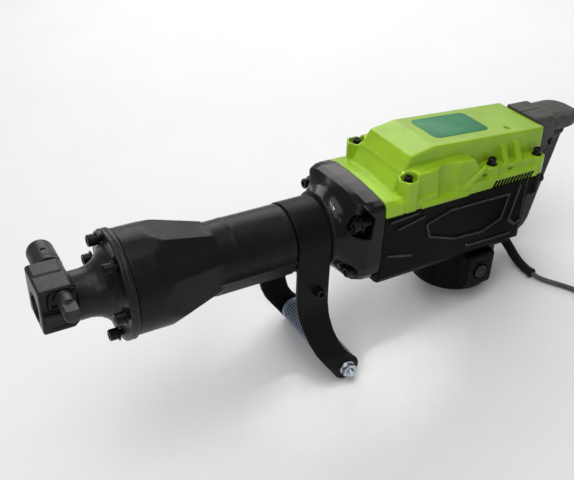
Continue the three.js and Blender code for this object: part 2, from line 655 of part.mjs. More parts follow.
function sideHandle() {
  const outer = STRAP_SEAT_RADIUS + GAP + 4;
  const x1 = STRAP_X + STRAP_WIDTH;
  const seat = STRAP_SEAT_RADIUS + GAP;
  const nearArm = armSection([[outer, 0], [outer, -80], [52, -108], [76, -158], [76, -195]]);
  const farArm = armSection([[outer, 0], [outer, -46], [60, -80], [74, -115], [76, -140], [76, -195]]);
  const arms = frontPlate(farArm, STRAP_X, 380).add(frontPlate(mirrored(nearArm), STRAP_X, 380));
  const outline = sidePlate([
    [STRAP_X, 10], [STRAP_X, -60], [302, -94], [313, -134], [327, -158],
    ...arc(SIDE_GRIP_X, SIDE_GRIP_Z, SIDE_ARM_END_RADIUS, 205, 385, 10),
    [370, -160], [353, -138], [345, -102], [x1, -60], [x1, 10],
  ], -90, 90);
  let strap = turned('x', [[seat, STRAP_X], [outer, STRAP_X], [outer, x1], [seat, x1], [seat, STRAP_X]]);
  strap = strap.subtract(block(STRAP_X - 1, x1 + 1, -22, 22, -60, -20));
  strap = strap.add(arms.intersect(outline));
  strap = strap.subtract(bar('x', seat, STRAP_X - 1, x1 + 1, [0, 0], BIG));
  strap = strap.subtract(bar('y', 4.4, -60, 60, [CLAMP_X, CLAMP_Z]));
  strap = strap.subtract(bar('y', 5.4, -90, 90, [SIDE_GRIP_X, SIDE_GRIP_Z]));
  add('side_handle_strap', strap, 'black');
  const clampSeat = -outer - GAP;
  add('clamp_screw', turned('y', [
    [0, clampSeat - 9], [6.6, clampSeat - 9], [6.6, clampSeat], [4, clampSeat], [4, outer + 10], [0, outer + 10],
  ], [CLAMP_X, CLAMP_Z], SMALL), 'darkSteel');
  const reach = SIDE_GRIP_HALF_LENGTH;
  add('side_grip', turned('y', [
    [5.6, -reach], [SIDE_GRIP_RADIUS, -reach], [SIDE_GRIP_RADIUS, reach], [5.6, reach], [5.6, -reach],
  ], [SIDE_GRIP_X, SIDE_GRIP_Z], MEDIUM), 'gripRubber');
  const headY = 76 + GAP;
  add('grip_bolt', turned('y', [
    [0, -90], [5, -90], [5, headY], [9, headY], [9, headY + 6], [0, headY + 6],
  ], [SIDE_GRIP_X, SIDE_GRIP_Z], SMALL), 'zinc');
  let nut = sidePlate(hexagon(17, SIDE_GRIP_X, SIDE_GRIP_Z, 10), -85, -headY);
  nut = nut.subtract(bar('y', 5.3, -90, -70, [SIDE_GRIP_X, SIDE_GRIP_Z]));
  add('grip_nut', nut, 'zinc');
}

// ---------------------------------------------------------------- mains lead

// A tube with a round section along the smooth curve through the points.
function tube(points, radius, steps, sides) {
  const curve = new THREE.CatmullRomCurve3(points.map((p) => new THREE.Vector3(...p)), false, 'centripetal');
  const section = new THREE.Shape(arc(0, 0, radius, 0, 360 - 360 / sides, sides - 1).map(([u, v]) => new THREE.Vector2(u, v)));
  return solidOf(new THREE.ExtrudeGeometry(section, { steps, bevelEnabled: false, extrudePath: curve }));
}

function mainsLead() {
  add('strain_relief', tube(SLEEVE_ROUTE, 7, 8, 10), 'rubber', lead);
  add('cord', tube(CORD_ROUTE, CORD_DIAMETER / 2, 30, 8), 'rubber', lead);
  const inner = COIL_MIDDLE_RADIUS - COIL_COLUMNS * CORD_DIAMETER / 2;
  const outer = COIL_MIDDLE_RADIUS + COIL_COLUMNS * CORD_DIAMETER / 2;
  const top = COIL_LAYERS * CORD_DIAMETER + 0.2;
  const [x, y] = COIL_CENTRE;
  add('cord_coil', turned('z', [[inner, 0.2], [outer, 0.2], [outer, top], [inner, top], [inner, 0.2]], [x, y], MEDIUM), 'rubber', lead);
  const plug = plugBody();
  add('plug', plug, 'rubber', lead);
}

// Two-pin mains plug, lying on its side beside the coil.
function plugBody() {
  const [x, y] = PLUG_PLACE;
  const z = 18.5;
  let plug = turned('y', [[0, 0], [4.5, 0], [6, 12], [14, 20], [18.3, 26], [18.3, 40], [0, 40]], [0, 0], MEDIUM);
  for (const side of [-9.5, 9.5]) {
    plug = plug.add(bar('y', 2.4, 39, 59, [side, 0]));
  }
  return plug.translate([x, y, z]);
}

const SLEEVE_ROUTE = [
  [633.1, -14, 29.9], [632.2, -14.2, 24.8], [633.1, -19, 19], [631.6, -29.5, 13.4], [628.6, -41.5, 9.9],
  [625.9, -55, 8.1], [624.4, -69, 7.3], [624.6, -81, 7.1],
];
const CORD_ROUTE = [
  [624.7, -81.7, 7], [625, -84.2, 6.6], [626.6, -90, 5], [630, -98.5, 3.9], [635.6, -111, 3.8],
  [641.6, -124, 3.8], [647, -137, 3.8], [651.2, -150, 3.8], [653.1, -164.3, 3.8],
];
const COIL_CENTRE = [698.6, -190];
const PLUG_PLACE = [744.1, -162.8];

frontCover();
retainer();
flangeBolts();
cylinderCase();
impactMechanism();
crankshaft();
countershaft();
motor();
crankcase();
motorHousing();
gearCover();
rearHandle();
sideHandle();

mainsLead();

// The tipped tool stands on z = 0, and the origin is under the middle of its own box; the lead
// lies beside it and doesn't move the origin.
hammer.rotation.y = TILT;
hammer.updateMatrixWorld(true);
const reach = new THREE.Box3().setFromObject(hammer, true);
hammer.position.z = -reach.min.z;
const root = new THREE.Group();
root.add(hammer, lead);
root.position.set(-(reach.min.x + reach.max.x) / 2, -(reach.min.y + reach.max.y) / 2, 0);

export default root;
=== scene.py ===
import itertools
import json
from math import cos, hypot, pi, radians, sin

import bmesh
import bpy
import numpy as np
from mathutils import Matrix, Vector


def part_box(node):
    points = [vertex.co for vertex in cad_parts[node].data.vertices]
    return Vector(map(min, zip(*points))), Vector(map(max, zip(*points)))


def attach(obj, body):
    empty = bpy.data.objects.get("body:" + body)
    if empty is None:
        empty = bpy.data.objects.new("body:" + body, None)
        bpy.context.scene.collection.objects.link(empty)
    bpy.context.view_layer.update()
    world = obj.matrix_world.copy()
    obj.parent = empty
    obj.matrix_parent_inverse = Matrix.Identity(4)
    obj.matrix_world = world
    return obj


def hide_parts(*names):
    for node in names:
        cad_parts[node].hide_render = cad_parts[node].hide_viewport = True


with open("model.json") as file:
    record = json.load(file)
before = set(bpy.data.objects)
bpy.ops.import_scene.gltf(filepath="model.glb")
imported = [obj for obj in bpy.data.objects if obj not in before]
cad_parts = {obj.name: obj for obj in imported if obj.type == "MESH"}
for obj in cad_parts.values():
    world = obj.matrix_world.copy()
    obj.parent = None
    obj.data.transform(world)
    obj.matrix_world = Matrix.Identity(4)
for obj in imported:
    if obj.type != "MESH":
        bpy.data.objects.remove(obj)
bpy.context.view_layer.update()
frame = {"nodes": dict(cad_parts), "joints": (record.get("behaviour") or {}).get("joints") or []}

joints = {joint["name"]: joint for joint in frame["joints"]}

# ---- the hammer's own frame
MM = 0.001
BAND_MIDDLE = 322  # of the side handle's band, along X
along = Vector(joints["piston_slide"]["axis"]).normalized()
upward = Vector(joints["crank_spin"]["axis"]).normalized()
across = upward.cross(along)
nose_tip = Vector(joints["side_handle_swing"]["pos_m"]) - BAND_MIDDLE * MM * along
HAMMER = Matrix.Identity(4)
for row in range(3):
    HAMMER[row] = [MM * along[row], MM * across[row], MM * upward[row], nose_tip[row]]
TO_HAMMER = HAMMER.inverted()


def place(x, y, z):
    """A point of the hammer's frame, in the row frame."""
    return HAMMER @ Vector((x, y, z))


def spot(joint, *axes):
    """The hammer coordinates of a joint's axis point."""
    point = TO_HAMMER @ Vector(joints[joint]["pos_m"])
    return [point["xyz".index(axis)] for axis in axes]


def extent(node):
    """Lowest and highest hammer coordinates of a CAD node."""
    points = [TO_HAMMER @ v.co for v in frame["nodes"][node].data.vertices]
    low = [min(p[i] for p in points) for i in range(3)]
    high = [max(p[i] for p in points) for i in range(3)]
    return low, high


def new_object(name, data):
    made = bpy.data.objects.new(name, data)
    bpy.context.scene.collection.objects.link(made)
    return made


def outward(way, near, far):
    """Two distances from the middle plane, on the side that way says, the lower one first."""
    return sorted((way * near, way * far))


# ---- camera
CAMERA_PLACE = (-108.8, -714.1, 534.5)
CAMERA_AIM = (313.0, 9.1, -12.4)
CAMERA_ROLL = radians(1.97)
CAMERA_LENS = 50.36


def camera():
    data = bpy.data.cameras.new("camera")
    data.lens = CAMERA_LENS
    data.sensor_width = 36
    data.clip_start = 0.01
    eye = new_object("camera", data)
    forward = (place(*CAMERA_AIM) - place(*CAMERA_PLACE)).normalized()
    level = forward.cross(upward).normalized()
    right = level * cos(CAMERA_ROLL) + level.cross(forward) * sin(CAMERA_ROLL)
    up = right.cross(forward)
    turn = Matrix((right, up, -forward)).transposed().to_4x4()
    eye.matrix_world = Matrix.Translation(place(*CAMERA_PLACE)) @ turn
    bpy.context.scene.camera = eye


# ---- distances, for cast shapes
def meet(edge, *parts):
    """Where several solids meet, with its edges rounded to a radius."""
    moved = [part + edge for part in parts]
    inner = moved[0]
    outer = np.square(np.maximum(moved[0], 0))
    for part in moved[1:]:
        inner = np.maximum(inner, part)
        outer = outer + np.square(np.maximum(part, 0))
    return np.minimum(inner, 0) + np.sqrt(outer) - edge


def polygon_distance(outline, u, v):
    """Signed distance to a closed outline, negative inside."""
    nearest = np.full(np.broadcast(u, v).shape, 1e9, np.float32)
    inside = np.zeros(nearest.shape, bool)
    for (u0, v0), (u1, v1) in zip(outline, outline[1:] + outline[:1]):
        du, dv = u1 - u0, v1 - v0
        share = np.clip(((u - u0) * du + (v - v0) * dv) / (du * du + dv * dv + 1e-9), 0, 1)
        nearest = np.minimum(nearest, np.square(u - u0 - share * du) + np.square(v - v0 - share * dv))
        if v0 != v1:
            crosses = ((v0 <= v) != (v1 <= v)) & (u < u0 + (v - v0) / (v1 - v0) * du)
            inside ^= crosses
    return np.where(inside, -1, 1) * np.sqrt(nearest)


def axes_of(axis):
    """The number of an axis, then those of the two others."""
    run = "xyz".index(axis)
    return [run] + [i for i in range(3) if i != run]


class Shape:
    """A distance function with the box that holds its solid."""

    def __init__(self, low, high, distance):
        self.low, self.high, self.distance = np.array(low, float), np.array(high, float), distance


def common(low, high, edge, *shapes):
    """What several shapes share, with its edges rounded."""
    return Shape(low, high, lambda *grid: meet(edge, *(shape.distance(*grid) for shape in shapes)))


def prism(axis, outline, start, end, edge=0.0):
    """An outline in the two other coordinates, run from start to end along an axis."""
    run, first, second = axes_of(axis)
    middle, half = (start + end) / 2, (end - start) / 2
    low, high = [0, 0, 0], [0, 0, 0]
    low[run], high[run] = start, end
    for i, k in ((first, 0), (second, 1)):
        low[i], high[i] = min(p[k] for p in outline), max(p[k] for p in outline)

    def distance(*grid):
        flat = polygon_distance(outline, grid[first], grid[second])
        return meet(edge, flat, np.abs(grid[run] - middle) - half)

    return Shape(low, high, distance)


def block(x0, x1, y0, y1, z0, z1, edge=0.0):
    spans = ((x0, x1), (y0, y1), (z0, z1))

    def distance(*grid):
        return meet(edge, *(np.abs(c - (a + b) / 2) - (b - a) / 2 for c, (a, b) in zip(grid, spans)))

    return Shape((x0, y0, z0), (x1, y1, z1), distance)


def turned(axis, stations, centre=(0, 0), edge=0.0):
    """A solid of revolution from [place along the axis, radius] stations, with flat ends."""
    run, first, second = axes_of(axis)
    places = [s[0] for s in stations]
    radii = [s[1] for s in stations]
    start, end, widest = places[0], places[-1], max(radii)
    low, high = [0, 0, 0], [0, 0, 0]
    low[run], high[run] = start, end
    for i, c in ((first, centre[0]), (second, centre[1])):
        low[i], high[i] = c - widest, c + widest

    def distance(*grid):
        at = grid[run]
        radius = np.interp(at, places, radii).astype(np.float32)
        slope = np.interp(at + 0.5, places, radii) - np.interp(at - 0.5, places, radii)
        slope = slope.astype(np.float32)
        away = np.sqrt(np.square(grid[first] - centre[0]) + np.square(grid[second] - centre[1]))
        side = (away - radius) / np.sqrt(1 + np.square(slope))
        return meet(edge, side, np.abs(at - (start + end) / 2) - (end - start) / 2)

    return Shape(low, high, distance)


def bar(axis, radius, start, end, centre=(0, 0), edge=0.0):
    return turned(axis, [(start, radius), (end, radius)], centre, edge)


def stroke(points, radius):
    """A round line through points."""
    low = [min(p[i] for p in points) - radius for i in range(3)]
    high = [max(p[i] for p in points) + radius for i in range(3)]

    def distance(x, y, z):
        nearest = None
        for a, b in zip(points, points[1:]):
            d = [b[i] - a[i] for i in range(3)]
            length = sum(c * c for c in d) + 1e-9
            share = np.clip(((x - a[0]) * d[0] + (y - a[1]) * d[1] + (z - a[2]) * d[2]) / length, 0, 1)
            gap = np.square(x - a[0] - share * d[0])
            gap = gap + np.square(y - a[1] - share * d[1]) + np.square(z - a[2] - share * d[2])
            nearest = gap if nearest is None else np.minimum(nearest, gap)
        return np.sqrt(nearest) - radius

    return Shape(low, high, distance)


def arc(cu, cv, radius, start, end, steps):
    """Points of an arc about a centre, angles in degrees."""
    angles = [radians(start + (end - start) * i / steps) for i in range(steps + 1)]
    return [(cu + radius * cos(a), cv + radius * sin(a)) for a in angles]


def rounded(u0, u1, v0, v1, radius, steps):
    """A rectangle with round corners, from its lower right corner on."""
    corners = [(u1 - radius, v0 + radius), (u1 - radius, v1 - radius), (u0 + radius, v1 - radius),
               (u0 + radius, v0 + radius)]
    return [p for i, (u, v) in enumerate(corners) for p in arc(u, v, radius, 90 * i - 90, 90 * i, steps)]


def both_sides(half):
    """Half an outline, followed back by its mirror image across u = 0."""
    return half + [(-u, v) for u, v in reversed(half)]


def hexagon(across_flats, cu=0.0, cv=0.0):
    return arc(cu, cv, across_flats / 2 / cos(pi / 6), 0, 300, 5)


class Casting:
    """A solid as distances on a grid: it starts empty, and shapes are added to it and cut from it."""

    def __init__(self, low, high, step):
        self.step = step * 1.0
        self.low = np.array(low, float) - 3 * self.step
        counts = np.ceil((np.array(high, float) - self.low) / self.step).astype(int) + 3
        self.axes = [(self.low[i] + self.step * np.arange(counts[i])).astype(np.float32) for i in range(3)]
        self.field = np.full(counts, 6 * self.step, np.float32)

    def window(self, shape, margin):
        cuts = []
        for i in range(3):
            start = np.searchsorted(self.axes[i], shape.low[i] - margin)
            end = np.searchsorted(self.axes[i], shape.high[i] + margin)
            cuts.append(slice(start, end))
        x, y, z = (self.axes[i][cuts[i]] for i in range(3))
        return tuple(cuts), (x[:, None, None], y[None, :, None], z[None, None, :])

    def join(self, shape, blend, way):
        cuts, grid = self.window(shape, 3 * self.step + blend)
        part, new = way * self.field[cuts], shape.distance(*grid)
        soft = np.square(np.maximum(blend - np.abs(part - new), 0)) / (4 * blend) if blend else 0
        self.field[cuts] = way * (np.minimum(part, new) - soft)

    def add(self, shape, blend=0.0):
        self.join(shape, blend, 1)

    def cut(self, shape, blend=0.0):
        self.join(shape, blend, -1)

    def keep(self, shape, edge=0.0):
        """Leaves only what is inside the shape."""
        grid = (self.axes[0][:, None, None], self.axes[1][None, :, None], self.axes[2][None, None, :])
        self.field = meet(edge, self.field, shape.distance(*grid).astype(np.float32))

    def surface(self):
        """Vertices and quads of the zero surface: one vertex in each cell that it crosses."""
        field, inside = self.field, self.field < 0
        near, far = slice(None, -1), slice(1, None)
        corners = list(itertools.product((near, far), repeat=3))
        count = sum(inside[c].astype(np.int8) for c in corners)
        cells = np.nonzero((count > 0) & (count < 8))
        index = np.full(count.shape, -1, np.int32)
        index[cells] = np.arange(len(cells[0]))
        bits = list(itertools.product((0, 1), repeat=3))
        value = {b: field[cells[0] + b[0], cells[1] + b[1], cells[2] + b[2]] for b in bits}
        total = np.zeros((len(cells[0]), 3))
        hits = np.zeros(len(cells[0]))
        for b in bits:
            for axis in range(3):
                if b[axis]:
                    continue
                other = tuple(1 if i == axis else b[i] for i in range(3))
                v0, v1 = value[b], value[other]
                hit = (v0 < 0) != (v1 < 0)
                share = np.where(hit, v0 / np.where(hit, v0 - v1, 1), 0)
                for i in range(3):
                    total[:, i] += np.where(hit, b[i] + (share if i == axis else 0), 0)
                hits += hit
        points = self.low + self.step * (np.stack(cells, 1) + total / hits[:, None])
        quads = []
        for axis in range(3):
            first, second = (i for i in range(3) if i != axis)
            low_cut, high_cut = [slice(None)] * 3, [slice(None)] * 3
            low_cut[axis], high_cut[axis] = near, far
            here, there = inside[tuple(low_cut)], inside[tuple(high_cut)]
            edges = np.array(np.nonzero(here != there))
            outward = here[tuple(edges)]
            around = []
            for du, dv in ((-1, -1), (0, -1), (0, 0), (-1, 0)):
                cell = edges.copy()
                cell[first] += du
                cell[second] += dv
                around.append(index[tuple(cell)])
            ring = np.stack(around, 1)
            flip = outward if axis != 1 else ~outward
            ring[~flip] = ring[~flip][:, ::-1]
            quads.append(ring)
        return points, np.concatenate(quads)


# ---- meshes and pieces
def mesh_object(name, points, faces):
    """A mesh object from hammer coordinates."""
    mesh = bpy.data.meshes.new(name)
    points = np.asarray(points, float)
    turn = np.array(HAMMER)
    placed = points @ turn[:3, :3].T + turn[:3, 3]
    faces = np.asarray(faces, np.int32)
    mesh.vertices.add(len(placed))
    mesh.vertices.foreach_set("co", placed.astype(np.float32).ravel())
    mesh.loops.add(faces.size)
    mesh.loops.foreach_set("vertex_index", faces.ravel())
    mesh.polygons.add(len(faces))
    mesh.polygons.foreach_set("loop_start", np.arange(0, faces.size, faces.shape[1], dtype=np.int32))
    mesh.update(calc_edges=True)
    mesh.validate()
    return new_object(name, mesh)


def apply_modifiers(piece):
    bpy.context.view_layer.update()
    graph = bpy.context.evaluated_depsgraph_get()
    made = bpy.data.meshes.new_from_object(piece.evaluated_get(graph), depsgraph=graph)
    piece.modifiers.clear()
    old = piece.data
    piece.data = made
    made.name = piece.name
    bpy.data.meshes.remove(old)


def finish_piece(piece, body, slot_name, *materials, nodes=()):
    piece.data.materials.clear()
    for material in materials:
        piece.data.materials.append(material)
    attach(piece, body)
    if nodes:
        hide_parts(*nodes)
    return piece


def bridge(mesh, rings, material=0):
    """Faces between each ring of vertices and the next. A ring may be a single vertex."""
    for low, high in zip(rings, rings[1:]):
        count = max(len(low), len(high))
        for i in range(count):
            j = (i + 1) % count
            corners = [low[i % len(low)], low[j % len(low)], high[j % len(high)], high[i % len(high)]]
            corners = list(dict.fromkeys(corners))
            if len(corners) > 2:
                mesh.faces.new(corners).material_index = material


def cast(name, casting, body, slot_name, *materials, nodes=(), share=0.3):
    """The casting as a finished piece: a lighter mesh, shaded smooth but with its flat faces flat."""
    piece = mesh_object(name, *casting.surface())
    thin = piece.modifiers.new("thin", "DECIMATE")
    thin.ratio = share
    apply_modifiers(piece)
    piece.data.shade_smooth()
    weigh = piece.modifiers.new("weigh", "WEIGHTED_NORMAL")
    weigh.weight = 100
    return finish_piece(piece, body, slot_name, *materials, nodes=nodes)


def lathe(name, profile, axis, centre, segments=64):
    """A turned piece from [place along the axis, radius] points, closed on its axis. A third entry
    makes a point's ring a hexagon, with the radius as half the width across its flats."""
    run, first, second = axes_of(axis)
    mesh = bmesh.new()
    rings = []
    for along_axis, radius, *form in profile:
        ring = []
        for i in range(segments if radius > 1e-6 else 1):
            angle = 2 * pi * i / segments
            reach = radius
            if form:
                reach = radius / cos((angle + pi / 6) % (pi / 3) - pi / 6)
            point = [0.0, 0.0, 0.0]
            point[run] = along_axis
            point[first] = centre[0] + reach * cos(angle)
            point[second] = centre[1] + reach * sin(angle)
            ring.append(mesh.verts.new(point))
        rings.append(ring)
    bridge(mesh, rings)
    bmesh.ops.recalc_face_normals(mesh, faces=mesh.faces)
    return bmesh_piece(name, mesh)


def bmesh_piece(name, mesh, bevel=0.0):
    """A piece from a bmesh in hammer coordinates, with its sharp edges bevelled."""
    mesh.transform(HAMMER)
    data = bpy.data.meshes.new(name)
    mesh.to_mesh(data)
    mesh.free()
    piece = new_object(name, data)
    if bevel:
        soften = piece.modifiers.new("bevel", "BEVEL")
        soften.width = bevel * MM
        soften.segments = 2
        soften.limit_method = "ANGLE"
        soften.angle_limit = radians(40)
        soften.harden_normals = True
        apply_modifiers(piece)
    piece.data.shade_smooth()
    piece.data.set_sharp_from_angle(angle=radians(35))
    return piece


WASHER_OVER_HEAD = 1.3
HEAD_AND_WASHER = 12


def cap_screw(name, node, axis, way, body="root", washer=True):
    """A socket-head cap screw in the place of the CAD screw; way points from the head to the shank."""
    low, high = extent(node)
    run, first, second = axes_of(axis)
    centre = [(low[i] + high[i]) / 2 for i in (first, second)]
    top, tip = (low[run], high[run]) if way > 0 else (high[run], low[run])
    outer = (high[first] - low[first]) / 2
    head = outer / WASHER_OVER_HEAD if washer else outer
    shank = 0.55 * head
    seat = top + way * (min(head * 1.45 + 1.7, HEAD_AND_WASHER) if washer else head * 1.3 + 2)
    profile = [
        (top + way * head * 0.75, 0), (top + way * head * 0.75, head * 0.45, "hex"),
        (top + way * 0.5, head * 0.52, "hex"), (top, head * 0.62), (top, head - 0.9), (top + way * 0.9, head),
    ]
    if washer:
        profile += [
            (seat - way * 1.9, head), (seat - way * 1.9, head + 0.2), (seat - way * 1.8, outer - 0.3),
            (seat - way * 1.5, outer), (seat - way * 0.3, outer), (seat - way * 0.3, shank),
        ]
    else:
        profile += [(seat, head), (seat, shank)]
    profile += [(tip - way * 0.8, shank), (tip, shank - 0.8), (tip, 0)]
    piece = lathe(name, profile, axis, centre, 48)
    return finish_piece(piece, body, "screw_black", BLACK_OXIDE, nodes=[node])


def sweep(mesh, route, radii, sides=24, steps=6):
    """Adds a smooth round tube through points, with a radius at each."""
    points = [Vector(p) for p in route]
    fine, widths = [], []
    for i in range(len(points) - 1):
        p0 = points[max(i - 1, 0)]
        p1, p2 = points[i], points[i + 1]
        p3 = points[min(i + 2, len(points) - 1)]
        for k in range(steps):
            t = k / steps
            fine.append(0.5 * (2 * p1 + (p2 - p0) * t + (2 * p0 - 5 * p1 + 4 * p2 - p3) * t * t
                               + (3 * p1 - p0 - 3 * p2 + p3) * t ** 3))
            widths.append(radii[i] + (radii[i + 1] - radii[i]) * t)
    fine.append(points[-1])
    widths.append(radii[-1])
    rings = []
    side = Vector((0, 0, 1))
    for i, point in enumerate(fine):
        ahead = (fine[min(i + 1, len(fine) - 1)] - fine[max(i - 1, 0)]).normalized()
        side = (side - ahead * side.dot(ahead)).normalized()
        other = ahead.cross(side)
        ring = []
        for k in range(sides):
            angle = 2 * pi * k / sides
            away = side * cos(angle) + other * sin(angle)
            ring.append(mesh.verts.new(point + widths[i] * away))
        rings.append(ring)
    bridge(mesh, rings)
    mesh.faces.new(list(reversed(rings[0])))
    mesh.faces.new(rings[-1])


# ---- finishes
def linear(colour):
    """Linear colour from the usual 0 to 255 values."""
    return tuple((c / 255 / 12.92) if c < 11 else ((c / 255 + 0.055) / 1.055) ** 2.4 for c in colour) + (1,)


def set_inputs(node, values):
    for socket, value in values.items():
        node.inputs[socket].default_value = value


def finish_of(name, dark, light, rough, metal=0.0, patch=45, grain=700, depth=0.03, spread=0.08,
              stretch=(1, 1, 1), dust=0.0, coat=0.0, coat_rough=0.1, specular=0.5):
    """A finish from noise: patches of two close colours, an uneven roughness, and a fine grain
    that stands out by depth millimetres."""
    material = bpy.data.materials.new(name)
    material.use_nodes = True
    tree = material.node_tree
    node, link = tree.nodes.new, tree.links.new
    shader = tree.nodes["Principled BSDF"]
    set_inputs(shader, {"Metallic": metal, "Coat Weight": coat, "Coat Roughness": coat_rough,
                        "Specular IOR Level": specular})
    mapping = node("ShaderNodeMapping")
    set_inputs(mapping, {"Scale": stretch})
    link(node("ShaderNodeTexCoord").outputs["Object"], mapping.inputs["Vector"])

    def noise(scale, detail, roughness=0.6):
        made = node("ShaderNodeTexNoise")
        set_inputs(made, {"Scale": scale, "Detail": detail, "Roughness": roughness})
        link(mapping.outputs["Vector"], made.inputs["Vector"])
        return made.outputs["Fac"]

    def ramp(source, low, low_colour, high, high_colour):
        made = node("ShaderNodeValToRGB")
        first, last = made.color_ramp.elements
        first.position, first.color = low, low_colour
        last.position, last.color = high, high_colour
        link(source, made.inputs["Fac"])
        return made.outputs["Color"]

    colour = ramp(noise(patch, 5), 0.32, linear(dark), 0.7, linear(light))
    if dust:
        specks = ramp(noise(patch * 9, 6, 0.75), 0.62, (0, 0, 0, 1), 0.78, (dust, dust, dust, 1))
        mix = node("ShaderNodeMix")
        mix.data_type = "RGBA"
        set_inputs(mix, {"B": (0.16, 0.15, 0.13, 1)})
        link(specks, mix.inputs["Factor"])
        link(colour, mix.inputs["A"])
        colour = mix.outputs["Result"]
    link(colour, shader.inputs["Base Color"])
    uneven = node("ShaderNodeMapRange")
    set_inputs(uneven, {"From Min": 0.3, "From Max": 0.7, "To Min": rough - spread, "To Max": rough + spread})
    link(noise(patch * 2.3, 6, 0.65), uneven.inputs["Value"])
    link(uneven.outputs["Result"], shader.inputs["Roughness"])
    bump = node("ShaderNodeBump")
    set_inputs(bump, {"Strength": 0.6, "Distance": depth * MM})
    link(noise(grain, 3), bump.inputs["Height"])
    link(bump.outputs["Normal"], shader.inputs["Normal"])
    return material


BLACK_PAINT = finish_of("black_paint", (14, 14, 12), (24, 23, 20), 0.34, grain=520, depth=0.07, dust=0.02,
                        specular=0.17)
CRANKCASE_BLACK = finish_of("crankcase_black", (3, 3, 3), (7, 7, 6), 0.36, grain=520, depth=0.08, dust=0.01,
                            specular=0.07)
# A lighter, shinier black for the crests of the crankcase's raised lines: a painted highlight along the
# ridges.
CREST_HIGHLIGHT_BLACK = finish_of("painted_highlight_crest", (26, 25, 23), (44, 43, 39), 0.32, grain=700, depth=0.05,
                       specular=0.4)
NOSE_PAINT = finish_of("worn_nose_paint", (18, 17, 15), (36, 34, 31), 0.34, grain=460, depth=0.16, dust=0.1,
                       patch=90, specular=0.25)
GLOSS_BLACK = finish_of("gloss_black_paint", (6, 6, 6), (11, 11, 10), 0.17, grain=260, depth=0.1, spread=0.05,
                        coat=0.08, coat_rough=0.08, specular=0.2)
STRAP_PAINT = finish_of("strap_paint", (8, 8, 7), (15, 15, 13), 0.38, grain=420, depth=0.08, dust=0.02,
                        specular=0.11)
LIME_PAINT = finish_of("lime_paint", (138, 177, 24), (152, 191, 33), 0.36, grain=380, depth=0.06, patch=22,
                       coat=0.1, coat_rough=0.2, specular=0.35)
TEAL_LABEL = finish_of("teal_label", (14, 116, 68), (26, 132, 82), 0.4, grain=900, depth=0.02, patch=30,
                       specular=0.3)
GREY_PLASTIC = finish_of("grained_grey_plastic", (50, 50, 47), (72, 72, 67), 0.62, grain=1300, depth=0.22,
                         patch=70)
DARK_PLASTIC = finish_of("dark_plastic", (16, 16, 15), (27, 26, 24), 0.5, grain=1200, depth=0.15,
                         specular=0.35)
GRIP_RUBBER = finish_of("grip_rubber", (124, 136, 154), (158, 170, 188), 0.5, grain=1000, depth=0.12,
                        dust=0.2)
CABLE_RUBBER = finish_of("cable_rubber", (58, 59, 58), (82, 83, 82), 0.6, grain=1500, depth=0.06)
SOFT_RUBBER = finish_of("soft_black_rubber", (13, 14, 15), (22, 23, 24), 0.7, grain=1100, depth=0.1,
                        specular=0.3)
BLACK_OXIDE = finish_of("black_oxide", (14, 14, 15), (32, 31, 31), 0.33, metal=0.6, grain=1400, depth=0.04,
                        patch=160, specular=0.45)
PIN_STEEL = finish_of("pin_steel", (36, 36, 36), (62, 61, 59), 0.42, metal=0.5, grain=900, depth=0.08,
                      patch=120)
ZINC = finish_of("zinc_plate", (176, 186, 200), (214, 220, 226), 0.24, metal=1.0, grain=1600, depth=0.02,
                 patch=140)
GROUND_STEEL = finish_of("ground_steel", (120, 121, 122), (160, 160, 160), 0.3, metal=1.0, grain=2200,
                         depth=0.02, stretch=(1, 1, 6))
GEAR_STEEL = finish_of("gear_steel", (70, 68, 66), (104, 101, 97), 0.38, metal=0.95, grain=900, depth=0.04)
CAST_PLATE = finish_of("cast_plate", (140, 141, 142), (172, 172, 172), 0.5, metal=0.9, grain=480, depth=0.1)
COPPER_CORE = finish_of("copper_and_core", (120, 62, 34), (168, 98, 58), 0.42, metal=0.85, grain=1500,
                        depth=0.1, stretch=(1, 1, 8))
CARBON = finish_of("pressed_carbon", (22, 22, 22), (40, 40, 40), 0.7, grain=1500, depth=0.06)
BRASS = finish_of("plug_pin_brass", (170, 164, 150), (205, 200, 188), 0.28, metal=1.0, grain=1600, depth=0.02)
FLOOR = finish_of("floor_card", (246, 246, 246), (250, 250, 250), 0.75, grain=200, depth=0.02, patch=3,
                  spread=0.04)


# ---- mains lead, made first
SLEEVE_ROUTE = [
    (633.1, -14, 29.9), (632.2, -14.2, 24.8), (633.1, -19, 19), (631.6, -29.5, 13.4), (628.6, -41.5, 9.9),
    (625.9, -55, 8.1), (624.4, -69, 7.3), (624.6, -81, 7.1),
]
SLEEVE_RADII = [6.6, 7, 7, 6.9, 6.7, 6.5, 6.3, 6.2]
COLLAR_ROUTE = [(624.4, -76.5, 7.15), (624.5, -79, 7.1), (624.6, -81, 7.1)]
COLLAR_RADII = [6.7, 7, 6.8]
CORD_ROUTE = [
    (624.7, -81.7, 7), (625, -84.2, 6.6), (626.6, -90, 5), (630, -98.5, 3.9), (635.6, -111, 3.8),
    (641.6, -124, 3.8), (647, -137, 3.8), (651.2, -150, 3.8), (653.1, -164.3, 3.8), (653.1, -178, 3.7),
]
CORD_DIAMETER = 7.0
COIL_CENTRE = (698.6, -190)
COIL_RADII = (45.5, 38.5, 31.5)
PLUG_PLACE = (744.1, -162.8, 18.5)
coil_low, coil_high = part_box("cord_coil")
LEAD_SHIFT = Vector(((coil_low[0] + coil_high[0]) / 2 / MM - COIL_CENTRE[0],
                     (coil_low[1] + coil_high[1]) / 2 / MM - COIL_CENTRE[1], 0))
COIL_LAYERS = 4
TIE_ANGLE = 300
LOWEST_TURN = 3.7
TURN_POINTS = 18
STEP_SHARE = 0.22
TO_LEAD = TO_HAMMER @ Matrix.Diagonal((MM, MM, MM, 1)) @ Matrix.Translation(LEAD_SHIFT)


def lead_point(x, y, z):
    return (Vector((x, y, z)) + LEAD_SHIFT) * MM


